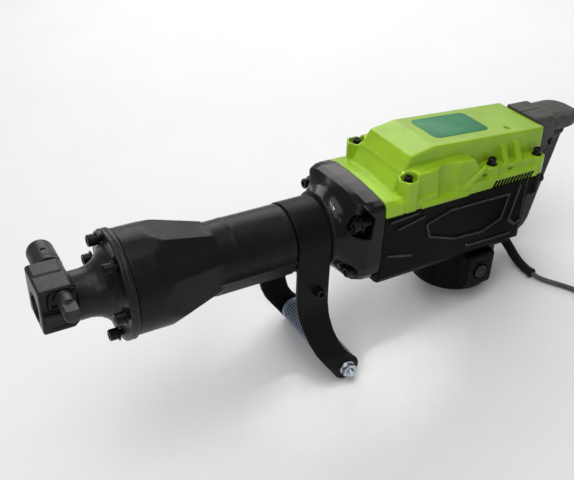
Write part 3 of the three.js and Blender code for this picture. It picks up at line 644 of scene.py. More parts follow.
def coil_route():
    """Turns in three columns and four layers, from the outside in and back out, each step to the
    next column or layer taken over the first part of a turn."""
    order = []
    for layer in range(COIL_LAYERS):
        columns = COIL_RADII if layer % 2 == 0 else COIL_RADII[::-1]
        order += [(radius, LOWEST_TURN + CORD_DIAMETER * layer) for radius in columns]
    points = []
    turns = len(order) - 0.5
    for i in range(int(turns * TURN_POINTS) + 1):
        turn, part = divmod(i / TURN_POINTS, 1)
        turn = int(turn)
        before = order[max(turn - 1, 0)]
        share = min(part / STEP_SHARE, 1)
        share = share * share * (3 - 2 * share)
        radius = before[0] + (order[turn][0] - before[0]) * share
        height = before[1] + (order[turn][1] - before[1]) * share
        angle = pi + 2 * pi * part
        x, y = COIL_CENTRE[0] + radius * cos(angle), COIL_CENTRE[1] + radius * sin(angle)
        points.append((x, y, height))
    return points


def mains_lead():
    route = CORD_ROUTE + coil_route()
    x, y, z = PLUG_PLACE
    route += [(x, y - 19, 24.2), (x, y - 9, 20.3), (x, y + 2, 18.5)]
    data = bpy.data.curves.new("mains_cord", "CURVE")
    data.dimensions = "3D"
    data.bevel_depth = CORD_DIAMETER / 2 * MM
    data.bevel_resolution = 5
    data.resolution_u = 6
    data.use_fill_caps = True
    line = data.splines.new("BEZIER")
    line.bezier_points.add(len(route) - 1)
    for knot, point in zip(line.bezier_points, route):
        knot.co = lead_point(*point)
        knot.handle_left_type = knot.handle_right_type = "AUTO"
    cord = new_object("mains_cord", data)
    finish_piece(cord, "root", "black_rubber", CABLE_RUBBER, nodes=["cord", "cord_coil"])

    mesh = bmesh.new()
    for points, radii in ((SLEEVE_ROUTE, SLEEVE_RADII), (COLLAR_ROUTE, COLLAR_RADII)):
        sweep(mesh, [lead_point(*p) for p in points], [r * MM for r in radii])
    mesh.transform(TO_HAMMER)
    sleeve = bmesh_piece("lead_sleeve", mesh)
    finish_piece(sleeve, "root", "black_rubber", SOFT_RUBBER, nodes=["strain_relief"])

    plug = plug_body()
    tie = coil_tie()


PLUG_SIDES = 48
PIN_SIDES = 20
PIN_OFFSET = 9.5


def plug_body():
    x, y, z = PLUG_PLACE
    profile = [(0, 0), (0, 4.3), (1.2, 4.9)]
    for i in range(4):
        profile += [(2 + 3 * i, 5.0 + 0.3 * i), (3.2 + 3 * i, 5.4 + 0.3 * i), (3.9 + 3 * i, 4.9 + 0.3 * i)]
    profile += [(15.5, 8.5), (19, 13), (23, 16.5), (26.5, 18), (38.8, 18.3), (40, 17.4), (40, 0)]
    mesh = bmesh.new()

    def ring(centre, run, radius, sides, pinch=0.0):
        points = []
        for k in range(sides if radius else 1):
            angle = 2 * pi * k / sides
            flat = 1 - pinch * abs(sin(angle)) ** 3
            point = (centre + radius * cos(angle), y + run, z + radius * sin(angle) * flat)
            points.append(mesh.verts.new(point))
        return points

    bridge(mesh, [
        ring(x, run, radius, PLUG_SIDES, 0.16 * min(max((run - 16) / 8, 0), 1)) for run, radius in profile
    ])
    for pin_x in (-PIN_OFFSET, PIN_OFFSET):
        stations = [(39, 2.4), (57.6, 2.4), (58.7, 1.7), (59, 0.8)]
        rings = [ring(x + pin_x, run, radius, PIN_SIDES) for run, radius in stations]
        bridge(mesh, rings, 1)
        for end in (rings[0], rings[-1]):
            mesh.faces.new(end).material_index = 1
    bmesh.ops.recalc_face_normals(mesh, faces=mesh.faces)
    mesh.transform(TO_LEAD)
    piece = bmesh_piece("mains_plug", mesh)
    return finish_piece(piece, "root", "black_rubber", CABLE_RUBBER, BRASS, nodes=["plug"])


def coil_tie():
    """A strap round the turns of the coil."""
    angle = radians(TIE_ANGLE)
    way = Vector((cos(angle), sin(angle), 0))
    side = Vector((-way.y, way.x, 0))
    centre = Vector((COIL_CENTRE[0], COIL_CENTRE[1], 0))
    inner, outer, top, inside, half_width = 27.2, 49.6, 28.9, 0.95, 5
    loop = [
        (inner + 2, 0.1), (outer - 2, 0.1), (outer, 2.5), (outer, top - 2.5), (outer - 2, top),
        (inner + 2, top), (inner, top - 2.5), (inner, 2.5),
    ]
    mesh = bmesh.new()
    rings = []
    middle_r, middle_z = (inner + outer) / 2, top / 2
    for radius, height in loop:
        ring = []
        for share, w in ((1, -half_width), (1, half_width), (inside, half_width), (inside, -half_width)):
            r, h = middle_r + (radius - middle_r) * share, middle_z + (height - middle_z) * share
            point = centre + way * r + side * w
            ring.append(mesh.verts.new((point.x, point.y, h)))
        rings.append(ring)
    bridge(mesh, rings + rings[:1])
    bmesh.ops.recalc_face_normals(mesh, faces=mesh.faces)
    mesh.transform(TO_LEAD)
    piece = bmesh_piece("coil_tie", mesh, 0.4)
    return finish_piece(piece, "root", "black_rubber", SOFT_RUBBER)


# ---- front cover
BOLT_CIRCLE = 54.5
FIRST_FLANGE_BOLT = 35
FLANGE_BOLTS = [
    (-BOLT_CIRCLE * sin(radians(turn)), BOLT_CIRCLE * cos(radians(turn)))
    for turn in range(FIRST_FLANGE_BOLT, FIRST_FLANGE_BOLT + 360, 60)
]
RETAINER = (26, 22.2)
CASE_BORE = 4.4
COVER_BORE = 3.4


def front_cover():
    body = Casting((0, -65, -65), (96, 65, 65), 0.8)
    side = [(1.5, -20), (0, -18), (0, 33), (1.8, 35.5), (34.5, 35.5), (39, 31.5), (39, -15), (34, -20)]
    body.add(prism("y", side, -28, 28, 2.2))
    body.add(prism("y", [(4, 30), (4, 36.6), (33, 36.6), (37, 31)], 2, 26.5, 1.2), 1)
    neck = [(34, 28), (54, 28), (60, 29), (66, 31), (72, 35), (78, 42), (82.5, 51), (84.2, 57)]
    body.add(turned("x", neck, edge=1), 4)
    body.add(bar("x", 64.5, 84, 94.6, edge=1.6), 2)
    body.cut(prism("y", [(2.5, 3), (2.5, 31), (41, 31), (41, 3)], -31, -22, 0.8), 1)
    lip = [(10.8, 11), (11, 19), (12.5, 25), (16, 28), (22, 29.6), (38, 30.2)]
    body.add(stroke([(x, -23.5, z) for x, z in lip], 2.2), 0.8)
    body.add(stroke([(x, -25.2, z) for x, z in lip], 1.5), 0.8)
    recess = [(13.4, 8), (13.6, 18), (15, 24), (18.5, 26.5), (41, 28), (41, 8)]
    body.cut(prism("y", recess, -31, -19, 0.8), 1.0)
    body.add(bar("y", 11.5, -23.5, -16, RETAINER, edge=1.2), 1.2)
    body.cut(block(8, 31, -30, -26.6, -14.5, -3, 1.5), 1)
    for y, z in FLANGE_BOLTS:
        body.cut(turned("x", [(56, 11.5), (80, 10.2), (84, 9.6)], (y, z), 1), 2)
        body.cut(bar("x", CASE_BORE, 78, 97, (y, z)))
    body.cut(Shape((88.4, -66, -66), (89.6, 66, 66),
                   lambda x, y, z: np.maximum(63.6 - np.sqrt(y * y + z * z), np.abs(x - 89) - 0.5)))
    body.cut(prism("x", hexagon(30.6), -3, 68))
    body.cut(turned("x", [(-2, 19), (2.2, 15.6)]))
    body.cut(bar("x", 20, 66, 98))
    body.cut(bar("y", 9.8, -40, 40, RETAINER))
    cast("nose_cover", body, "root", "black_casting", NOSE_PAINT, nodes=["front_cover"])


def retainer():
    x, z = spot("retainer_turn", "x", "z")
    profile = [
        (-63, 7.4), (-62.3, 8.4), (-61.4, 9.0), (-60.4, 9.4), (-31, 9.4), (-30.5, 8.7), (-29.6, 8.7),
        (-29.1, 9.4), (28.4, 9.4), (28.4, 14.6), (29.4, 15.5), (34, 15.5), (34.6, 14.8), (36, 14.8),
        (36.6, 15.5), (67, 15.5), (69.9, 14.5), (71.5, 12.4),
    ]
    pin = Casting((x - 16, -64, z - 16), (x + 16, 73, z + 16), 0.7)
    pin.add(turned("y", profile, (x, z)))
    pin.cut(block(x - 14, x + 14, -18, 18, z + 3, z + 14))
    pin.cut(bar("z", 2.8, z - 16, z + 16, (x, 47)))
    pin.cut(block(x - 14, x + 14, -65, -46, z + 6.5, z + 14, 0.4))
    cast("bit_retainer", pin, "retainer", "screw_black", PIN_STEEL, nodes=["retainer_pin"])
    spring = lathe("retainer_spring_pin", [
        (z - 13.5, 0), (z - 13.5, 1.4), (z - 12.9, 2.4), (z + 13.9, 2.4), (z + 14.5, 1.4), (z + 13.5, 1.2),
        (z + 13.5, 0),
    ], "z", (x, 47), 24)
    finish_piece(spring, "retainer", "bare_steel", GROUND_STEEL, nodes=["retainer_roll_pin"])


# ---- cylinder case
CASE_BOLTS = [(58.6, 30.2), (-58.6, 30.2), (50, -41), (-50, -41)]
REAR_FACE = [
    (67, -31), (65, -43), (59, -52.5), (49, -59), (38, -62), (-38, -62), (-49, -59), (-59, -52.5), (-65, -43),
    (-67, -31), (-67, 47), (-65, 53), (-54, 56), (-32, 59), (-11, 60.6), (13, 61), (46, 59.5), (62, 55),
    (67, 49),
]


DRUM_RADIUS = 62


def facets(x, y, z):
    """Drum cut by eight planes that close in towards the waist, the lower three further back."""
    reach = DRUM_RADIUS - np.maximum(x - 124, 0) * 20 / 76
    low_reach = DRUM_RADIUS - np.maximum(x - 138, 0) * 20 / 66
    flats = None
    for k in range(8):
        angle = pi / 4 * k
        side = y * cos(angle) + z * sin(angle) - (low_reach if k in (5, 6, 7) else reach)
        flats = side if flats is None else np.maximum(flats, side)
    drum = np.sqrt(y * y + z * z) - DRUM_RADIUS
    return meet(1.2, flats * 0.967, drum + 0 * x, np.abs(x - 148) - 53)


def flare(x, y, z):
    """Round at the strap, an arched square with large corners at the rear face."""
    share = np.interp(x, [350, 356, 362, 368, 374, 382, 390], [0, 0.1, 0.29, 0.6, 0.88, 0.98, 1])
    share = share.astype(np.float32)
    circle = np.sqrt(y * y + z * z) - 48
    square = polygon_distance(REAR_FACE, y, z)
    return meet(1.0, circle * (1 - share) + square * share, np.abs(x - 376.9) - 26.6)


def cylinder_case():
    body = Casting((95, -68, -64), (404, 68, 64), 1.1)
    body.add(Shape((95, -DRUM_RADIUS, -DRUM_RADIUS), (201, DRUM_RADIUS, DRUM_RADIUS), facets))
    body.add(turned("x", [(190, 43), (221, 43), (223.5, 43.4), (226.5, 43.4), (229, 43), (298, 43),
                          (299.4, 41.6)]), 2.5)
    body.add(bar("x", 40, 290, 352))
    body.add(turned("x", [(345.8, 44), (347.4, 47.6), (349.2, 48.4), (351.6, 48)], edge=0.6))
    body.add(Shape((350, -68, -62), (404, 68, 64), flare), 0.5)
    keel = both_sides([(44, -9), (42, -13), (33, -32), (25, -37.5), (12, -39.5)])
    body.add(prism("x", keel, 197, 299, 1.5), 3)
    for side in (-1, 1):
        body.add(stroke([(206, side * 43.2, -9.6), (298, side * 43.2, -9.6)], 1.4), 0.8)
        body.cut(stroke([(206, side * 45.6, -3.6), (297, side * 45.6, -3.6)], 4.4), 0.8)
        body.cut(stroke([(212, side * 38.4, -33), (296, side * 38.4, -33)], 3.2), 1)
    for y, z in CASE_BOLTS:
        way = 1 if y > 0 else -1
        body.cut(bar("x", 12.2, 330, 374, (y, z), 1.5), 2)
        if z > 0 and way > 0:
            body.cut(turned("x", [(340, 19), (362, 15), (374, 12.2)], (y, z)), 2)
        elif z > 0:
            leaf = [(371, 60), (357, 49), (341.5, 33), (346, 20), (374, 13), (386, 11), (389, 39)]
            body.cut(prism("y", leaf, -80, -51.5, 1.2), 0.6)
        else:
            body.cut(stroke([(334, way * 56, z - 6), (360, way * 57, z - 6)], 14), 2.5)
        body.cut(bar("x", CASE_BORE, 360, 406, (y, z)))
    for y, z in FLANGE_BOLTS:
        body.cut(bar("x", CASE_BORE, 93, 116, (y, z)))
    body.cut(bar("x", 46, 90, 126))
    body.cut(bar("x", 31, 120, 408))
    piece = cast("cylinder_housing", body, "root", "black_casting", BLACK_PAINT, GLOSS_BLACK,
                 nodes=["cylinder_case"])
    paint_where(piece, lambda x, y, z: x > 349.4, 1)


def paint_where(piece, chosen, index):
    """Gives a second material to the faces whose middles, in hammer millimetres, are chosen: a second finish
    on some pieces, painted shade or a painted highlight on others.
    """
    for face in piece.data.polygons:
        if chosen(*(TO_HAMMER @ face.center)):
            face.material_index = index


# ---- crankcase and motor housing
MOTOR_X = spot("rotor_spin", "x")[0]
REAR_FACE_X = 403.8
SIDE_WALL = 66
COVER_SEAT = 35.3
MOTOR_SEAT = -65.3
RAISED_LINE = 2.1
PANEL = [(469, 9.3), (505.6, 20.7), (602.8, 19.4), (595.6, -16), (566, -27.9), (519.3, -25.7), (476.2, -10.7)]


def crankcase():
    body = Casting((403, -67, -67), (662, 67, 36), 1.1)
    section = [(66, -55), (63, -62), (56, -65), (-56, -65), (-63, -62), (-66, -55), (-66, 36), (66, 36)]
    body.add(prism("x", section, REAR_FACE_X, 645, 1.6))
    body.add(prism("y", [(406, -50), (418, -66.8), (467, -66.4), (494, -62), (494, -50)], -52, 52, 2), 3)
    for side in (-1, 1):
        low, high = outward(side, 46, 61.5)
        body.add(block(636, 661, low, high, 2, 36, 3), 3)
        face = side * SIDE_WALL
        body.cut(prism("y", PANEL, *sorted((face - side * 0.9, face + side * 3)), 0.3), 0.6)
        ring = [(x, face + side * 0.1, z) for x, z in PANEL + PANEL[:1]]
        body.add(stroke(ring, RAISED_LINE), 0.6)
        for line in (
            [(424.8, 14.2), (463, 22.3)], [(413.4, -21.7), (450.6, -30.7)],
            [(540, -40), (543, -44), (615, -44.6)], [(413, 27), (452, 30)],
            [(618.9, 28), (618.9, 22.6), (609.9, -22.4), (622.4, -32.3), (641.8, -22.2)],
        ):
            body.add(stroke([(x, face, z) for x, z in line], RAISED_LINE), 0.6)
        body.cut(prism("y", [(622, -58), (650, -40), (650, -70), (616, -70)], *outward(side, 58, 70), 1), 2)
        deep, clear = face - side * 6, face + side * 3
        body.cut(prism("z", [(638, deep), (650, deep), (650, clear), (632, clear)], -70, 40, 0.5), 2)
    body.cut(block(400, 700, -80, 80, 35, 60))
    body.cut(bar("x", 31, 400, 430))
    body.cut(block(428, 522, -50, 50, -45, 40))
    body.cut(block(510, 562, -31, 31, -20, 40))
    body.cut(bar("z", 50, -72, 40, (MOTOR_X, 0)))
    for y, z in CASE_BOLTS:
        body.cut(bar("x", CASE_BORE, 400, 425.5, (y, z)))
    for x, y, _ in COVER_BOLTS:
        for side in (-y, y):
            body.cut(bar("z", COVER_BORE, 3, 40, (x, side)))
    piece = cast("crank_housing", body, "root", "black_casting", CRANKCASE_BLACK, CREST_HIGHLIGHT_BLACK,
                 nodes=["crankcase"])
    # The crests of the raised lines on the crankcase sides take the lighter black: painted highlight along
    # the lines.
    paint_where(piece, lambda x, y, z: abs(y) > 67.5 and z < 34.5, 1)


def motor_housing():
    low, high = extent("brush_cap_left")
    cap_x, cap_z = (low[0] + high[0]) / 2, -94
    body = Casting((MOTOR_X - 58, -71, -135), (MOTOR_X + 58, 71, -65), 1.0)
    body.add(bar("z", 57, -134, MOTOR_SEAT, (MOTOR_X, 0), 5))
    body.add(turned("z", [(-92, 57), (-90, 58), (-84, 58), (-82, 57)], (MOTOR_X, 0)), 0.5)
    corner = 6
    low_x, high_x, low_z, high_z = cap_x - 24, cap_x + 22, cap_z - 23, MOTOR_SEAT
    outline = rounded(low_x, high_x, low_z, high_z, corner, 4)
    for side in (-1, 1):
        low, high = outward(side, 30, 69)
        body.add(prism("y", outline, low, high, 2.5), 3)
        frame_line = [
            (low_x + 5, high_z - 6), (low_x + 9, high_z - 3), (high_x - 15, high_z - 6),
            (high_x - 7, high_z - 14), (high_x - 9, high_z - 17), (low_x + 14, high_z - 14),
            (low_x + 5, high_z - 6),
        ]
        body.add(stroke([(x, side * 69, z) for x, z in frame_line], 1.1), 0.6)
        body.cut(bar("y", 11.5, *outward(side, 66.5, 74), (cap_x, cap_z), 0.5), 0.8)
    for i in range(12):
        angle = radians(30 * i + 15)
        body.cut(stroke([
            (MOTOR_X + 30 * cos(angle), 30 * sin(angle), -135),
            (MOTOR_X + 44 * cos(angle), 44 * sin(angle), -135),
        ], 3), 0.5)
    body.cut(bar("z", 50, -112, -60, (MOTOR_X, 0)))
    body.cut(bar("z", 30, -117, -110, (MOTOR_X, 0)))
    body.cut(bar("z", 16.3, -130.5, -110, (MOTOR_X, 0)))
    body.cut(bar("y", 8.3, -80, 80, (cap_x, cap_z)))
    body.cut(block(MOTOR_X - 70, MOTOR_X + 70, -80, 80, MOTOR_SEAT, -50))
    cast("motor_case", body, "root", "black_casting", CRANKCASE_BLACK, nodes=["motor_housing"])
    for side, way in (("left", -1), ("right", 1)):
        cap = lathe(f"brush_holder_cap_{side}", [
            (way * 60, 0), (way * 60, 7.6), (way * 60.4, 8), (way * 69.3, 8), (way * 69.3, 9.2),
            (way * 69.6, 9.5), (way * 70.9, 9.5), (way * 71.5, 8.9), (way * 71.5, 6.2), (way * 70.6, 5.6),
            (way * 70.6, 4.4), (way * 71.5, 3.9), (way * 71.5, 0),
        ], "y", (cap_x, cap_z), 48)
        finish_piece(cap, "root", "black_plastic", DARK_PLASTIC, nodes=[f"brush_cap_{side}"])


# ---- gear cover
COVER_BOLTS = [(440, 56, 70.5), (574, 54, 63.5), (652, 54, 60.5)]
VENT_DEPTH = 61


def gear_cover():
    (front_x, _, front_seat), (middle_x, _, middle_seat), (rear_x, _, _) = COVER_BOLTS
    body = Casting((403, -72, 35), (668, 72, 104), 1.0)
    front = [
        (68, 35.3), (70, 38), (68, 50), (66, 52), (54, 54.2), (32, 57), (10, 58.4), (-13, 57.2), (-37, 56),
        (-62.5, 54.9), (-68, 49), (-70, 38), (-68, 35.3),
    ]
    body.add(prism("x", front, REAR_FACE_X, 430, 2))
    side = [(420, 30), (667, 30), (667, 92), (485, 103), (450, 97), (423, 54)]
    upper = prism("y", side, -46, 46, 3.5)
    slant = prism("x", [(-46.5, 20), (46.5, 20), (46.5, 74), (44, 112), (-44, 112), (-46.5, 74)], 395, 680)
    body.add(common(upper.low, upper.high, 3.5, upper, slant), 3)
    shelf = [(438, 30), (561, 30), (552, 62), (541, 79), (538, 80), (520, 82), (446, 81), (438, 78)]
    body.add(prism("y", shelf, -62, 62, 3.2), 3)
    body.add(prism("y", [(540, 30), (661, 30), (661, 60.5), (655, 61), (540, 61.5)], -61, 61, 2.6), 3)
    body.add(block(410, 648, -66.5, 66.5, 30, 50, 2.5), 3)
    for way in (-1, 1):
        body.cut(turned("z", [(43, 18.5), (50, 21), (92, 24.5)], (497.5, way * 78), 0.8), 0.5)
        body.add(prism("z", hexagon(25, front_x, way * 56), 30, 76.8, 1.4), 1.5)
        body.add(bar("z", 10.5, 30, middle_seat, (middle_x, way * 54), 1), 2.5)
        body.add(bar("z", 10, 30, 60.6, (rear_x, way * 54), 1), 2)
        for x in (595.5, 617.5):
            rib = [(way * 44, 84.5), (way * 47.5, 84), (way * 60.5, 61), (way * 44, 61)]
            body.add(prism("x", rib, x - 4.2, x + 4.2, 0.8), 0.8)
        body.add(stroke([(556, way * 62, 66), (516, way * 65.5, 40)], 3), 1.5)
        low_ledge = [(456, 36), (454, 42), (456, 43), (527, 42), (530, 36)]
        body.add(prism("y", low_ledge, *outward(way, 62, 70), 1.2), 1)
        body.cut(bar("y", 9, *outward(way, 44.6, 55), (630.6, 82), 0.6), 0.8)
        for x in (559, 602):
            body.cut(block(x - 4, x + 4, *outward(way, 57.5, 70), 52.4, 55.6, 0.5), 0.3)
        low, high = outward(way, VENT_DEPTH, 72)
        for i in range(12):
            x = 575 + 5.6 * i
            body.cut(Shape((x - 5, low, 34), (x + 5, high, 45), slot_distance(x, way)))
    body.cut(bar("z", 4.4, 91.6, 98, (616, -29), 1), 0.8)
    for way in (-1, 1):
        body.cut(prism("z", hexagon(19, front_x, way * 57), front_seat, 95, 0.8), 0.6)
        body.cut(turned("z", [(60.6, 9.4), (75, 9.8)], (rear_x, way * 54), 0.3), 0.6)
    body.cut(block(436, 659, -52, 52, 20, 56))
    body.cut(block(449, 659, -42, 42, 20, 84))
    body.cut(block(400, 700, -90, 90, 10, COVER_SEAT))
    for x, y, seat in COVER_BOLTS:
        for at in (-y, y):
            body.cut(bar("z", COVER_BORE, 20, seat + 2, (x, at)))
    piece = cast("gearbox_cover", body, "root", "lime_cover", LIME_PAINT, DARK_PLASTIC, nodes=["gear_cover"],
                 share=0.4)
    # The walls and floors of the blind vent slots take the dark plastic: painted shade standing in for the
    # dark inside of the vents.
    paint_where(piece, lambda x, y, z: 571 < x < 641 and 35.6 < z < 44.7 and 60 < abs(y) < 66.1, 1)


def slot_distance(x0, way):
    """A slanted slot in a side wall, blind at its depth."""
    def distance(x, y, z):
        u = x - x0 - (z - 40.5) * 0.45
        return meet(0.5, np.abs(u) - 2.05 + 0 * y, np.abs(z - 39.5) - 5 + 0 * y,
                    (VENT_DEPTH - way * y) + 0 * x)
    return distance


PLATE_CENTRE = (546, 3.5)


def top_height(x):
    """Height of the cover's sloping top."""
    return np.interp(x, [485, 667], [103, 92])


def name_plate():
    outline = rounded(501.5, 590.3, -25.3, 32.3, 9, 8)
    centre_x, centre_y = PLATE_CENTRE
    mesh = bmesh.new()
    rings = []
    for lift, grow in ((-0.4, 1), (0.35, 1), (0.35, 0.955), (0.6, 0.945)):
        rings.append([mesh.verts.new((
            centre_x + (x - centre_x) * grow, centre_y + (y - centre_y) * grow, top_height(x) + lift,
        )) for x, y in outline])
    bridge(mesh, rings)
    mesh.faces.new(rings[0][::-1])
    mesh.faces.new(rings[-1])
    piece = bmesh_piece("top_label_plate", mesh)
    finish_piece(piece, "root", "name_plate_teal", TEAL_LABEL, nodes=["name_plate"])


# ---- rear handle
GRIP_REAR = [
    (741, 71.5), (737, 48), (733, 30), (728, 10), (723.5, -10), (718.5, -33), (713.5, -56), (709.5, -74),
    (703, -86), (694, -92), (684, -95),
]
HANDLE_SCREWS = [(698, 60), (696, -20), (686, -78), (652, -30)]
HANDLE_FRONT = 645.3
SHELL_FRONT = 667.3
SHELL_REAR = 702.8
CAP_FRONT = 703.2
FINGER_GAP = [
    (656, -58), (664, -57.5), (672, -53), (679, -43), (684, -30), (689, -10), (693, 14), (696, 30),
    (694.5, 37), (690, 40), (674, 40), (668, 27), (656, 25),
]


def in_grey_top(x, y, z):
    """Whether a place is in the lighter top of the handle, and not in the switch chamber."""
    return z > 56 + max(x - 700, 0) * 0.35 and (abs(y) > 10.8 or x > 709 or z > 60)


def rear_handle():
    body = Casting((645, -33, -96), (745, 33, 97), 1.0)
    outline = [
        (HANDLE_FRONT, -95), (HANDLE_FRONT, 34), (SHELL_FRONT, 34), (SHELL_FRONT, 96), (SHELL_REAR, 95),
        (SHELL_REAR, 71.5),
    ] + GRIP_REAR

    def grip(x, y, z):
        flat = np.maximum(polygon_distance(outline, x, z), -polygon_distance(FINGER_GAP, x, z))
        soft = np.clip((x - 668) / 12, 0.15, 1) * 9
        moved, thick = flat + soft, np.abs(y) - 17.5 + soft
        hollow = np.sqrt(np.square(np.maximum(moved, 0)) + np.square(np.maximum(thick, 0)))
        return np.minimum(np.maximum(moved, thick), 0) + hollow - soft

    body.add(Shape((HANDLE_FRONT, -17.5, -95), (741, 17.5, 93), grip))
    top = [
        (SHELL_FRONT, 50), (SHELL_FRONT, 96), (SHELL_REAR, 95), (SHELL_REAR, 71.5), (727, 71.5), (716, 60),
        (702, 54), (690, 50),
    ]
    body.add(prism("y", top, -32, 32, 7), 3)
    crown = both_sides([(32, 50), (32, 82), (27, 90.5), (17, 94.6)])
    body.add(prism("x", crown, SHELL_FRONT, SHELL_REAR, 0.8), 1)
    foot = [
        (HANDLE_FRONT, -95), (HANDLE_FRONT, -60), (660, -58), (668, -66), (672, -78), (673, -92), (668, -95),
    ]
    body.add(prism("y", foot, -24, 24, 6), 4)
    for way in (-1, 1):
        groove = [(667.5, way * 33, 52), (690, way * 33, 50.5), (716, way * 30, 66), (738, way * 24, 70)]
        body.cut(stroke(groove, 1.0), 0.8)
    for z in (-46, -34, -22, -10, 2, 14, 26):
        x = np.interp(z, [p[1] for p in GRIP_REAR[::-1]], [p[0] for p in GRIP_REAR[::-1]])
        body.cut(stroke([(x + 1.8, -9, z - 1), (x + 2.8, 0, z), (x + 1.8, 9, z - 1)], 2.4), 0.8)
    for x, z in HANDLE_SCREWS:
        body.cut(bar("y", 4.6, -40, -15, (x, z)), 0.8)
    body.cut(bar("z", 5, -110, -60, (664, 0)))
    body.cut(block(699, 716, -11, 11, -22, 34))
    body.cut(block(707, 724, -11, 11, 0, 34))
    body.cut(block(676, 708, -11, 11, -26, 42))
    whole = body.field.copy()
    for side, way in (("left", -1), ("right", 1)):
        body.field = whole.copy()
        body.keep(block(600, 800, *outward(way, 0.15, 60), -150, 150), 0.5)
        if way < 0:
            body.cut(bar("y", 5.4, -30, 0, spot("lock_press", "x", "z")), 0.5)
        piece = cast(f"handle_shell_{side}", body, "root", "handle_grey", DARK_PLASTIC, GREY_PLASTIC,
                     nodes=[f"handle_{side}"])
        paint_where(piece, in_grey_top, 1)

    cap = Casting((703, -33, 70), (766, 33, 97), 0.9)
    plan = [
        (CAP_FRONT, -32), (716, -32), (729, -31), (740, -28.5), (749, -24), (757, -17), (761.5, -10),
        (763.5, 0),
    ]
    plan += [(x, -y) for x, y in plan[-2::-1]]
    section = [
        (CAP_FRONT, 72), (746, 72), (755, 74.5), (761, 79), (763, 83), (757, 88.2), (735, 93.2),
        (CAP_FRONT, 94.8),
    ]
    profile = prism("y", section, -40, 40)
    shape = prism("z", plan, 60, 100)
    crown = prism("x", both_sides([(32, 60), (32, 82), (27, 90.1), (17, 94.2)]), 690, 780)
    cap.add(common((CAP_FRONT, -32, 72), (765, 32, 95), 4.5, shape, profile, crown))
    cap.add(prism("x", both_sides([(31, 73), (31.6, 82), (26.6, 89.8), (17, 94)]), CAP_FRONT, 712, 0.6), 0.5)
    cast("handle_end_cap", cap, "root", "handle_grey", GREY_PLASTIC, nodes=["handle_cap"])

    x, z = spot("trigger_pull", "x", "z")
    lever = Casting((682, -10, -23), (709, 10, 40), 0.7)
    edge = [
        (x - 5, z), (x - 4, z + 4), (x, z + 5.5), (x + 3, z + 4), (x + 2.6, z - 5), (702, 20), (700.5, 4),
        (698, -18), (694.5, -21.2), (690, -22), (685.5, -20), (683.4, -15.5), (685.6, -6), (688.4, 4),
        (689.4, 14), (693, 26),
    ]
    lever.add(prism("y", edge, -9, 9, 2.4))
    for height in (-10, -6, -2, 2, 6, 10):
        front = np.interp(height, [-15.5, -6, 4, 14], [683.4, 685.6, 688.4, 689.4])
        lever.cut(stroke([(front - 0.6, -7, height), (front - 0.6, 7, height)], 1.1), 0.5)
    cast("trigger_lever_grip", lever, "trigger_lever", "black_plastic", DARK_PLASTIC, nodes=["trigger"])
    x, z = spot("lock_press", "x", "z")
    button = lathe("lock_on_button", [
        (-21.5, 0), (-21.3, 2.6), (-20.7, 4.2), (-19.8, 4.9), (-19, 5), (-6.4, 5), (-6, 4.6), (-6, 0),
    ], "y", (x, z), 40)
    finish_piece(button, "lock_knob", "black_plastic", SOFT_RUBBER, nodes=["lock_button"])


# ---- side handle
GRIP_X, GRIP_Z = 360, -175
RIB_PITCH = 4.6
RIB = [(0, 15), (1.9, 15), (2.2, 16.4), (2.7, 17.4), (3.7, 17.4), (4.3, 16.4)]
BAND_BORE = 40.3
BAND_RADIUS = 44.3
CLAMP = (329, -62)


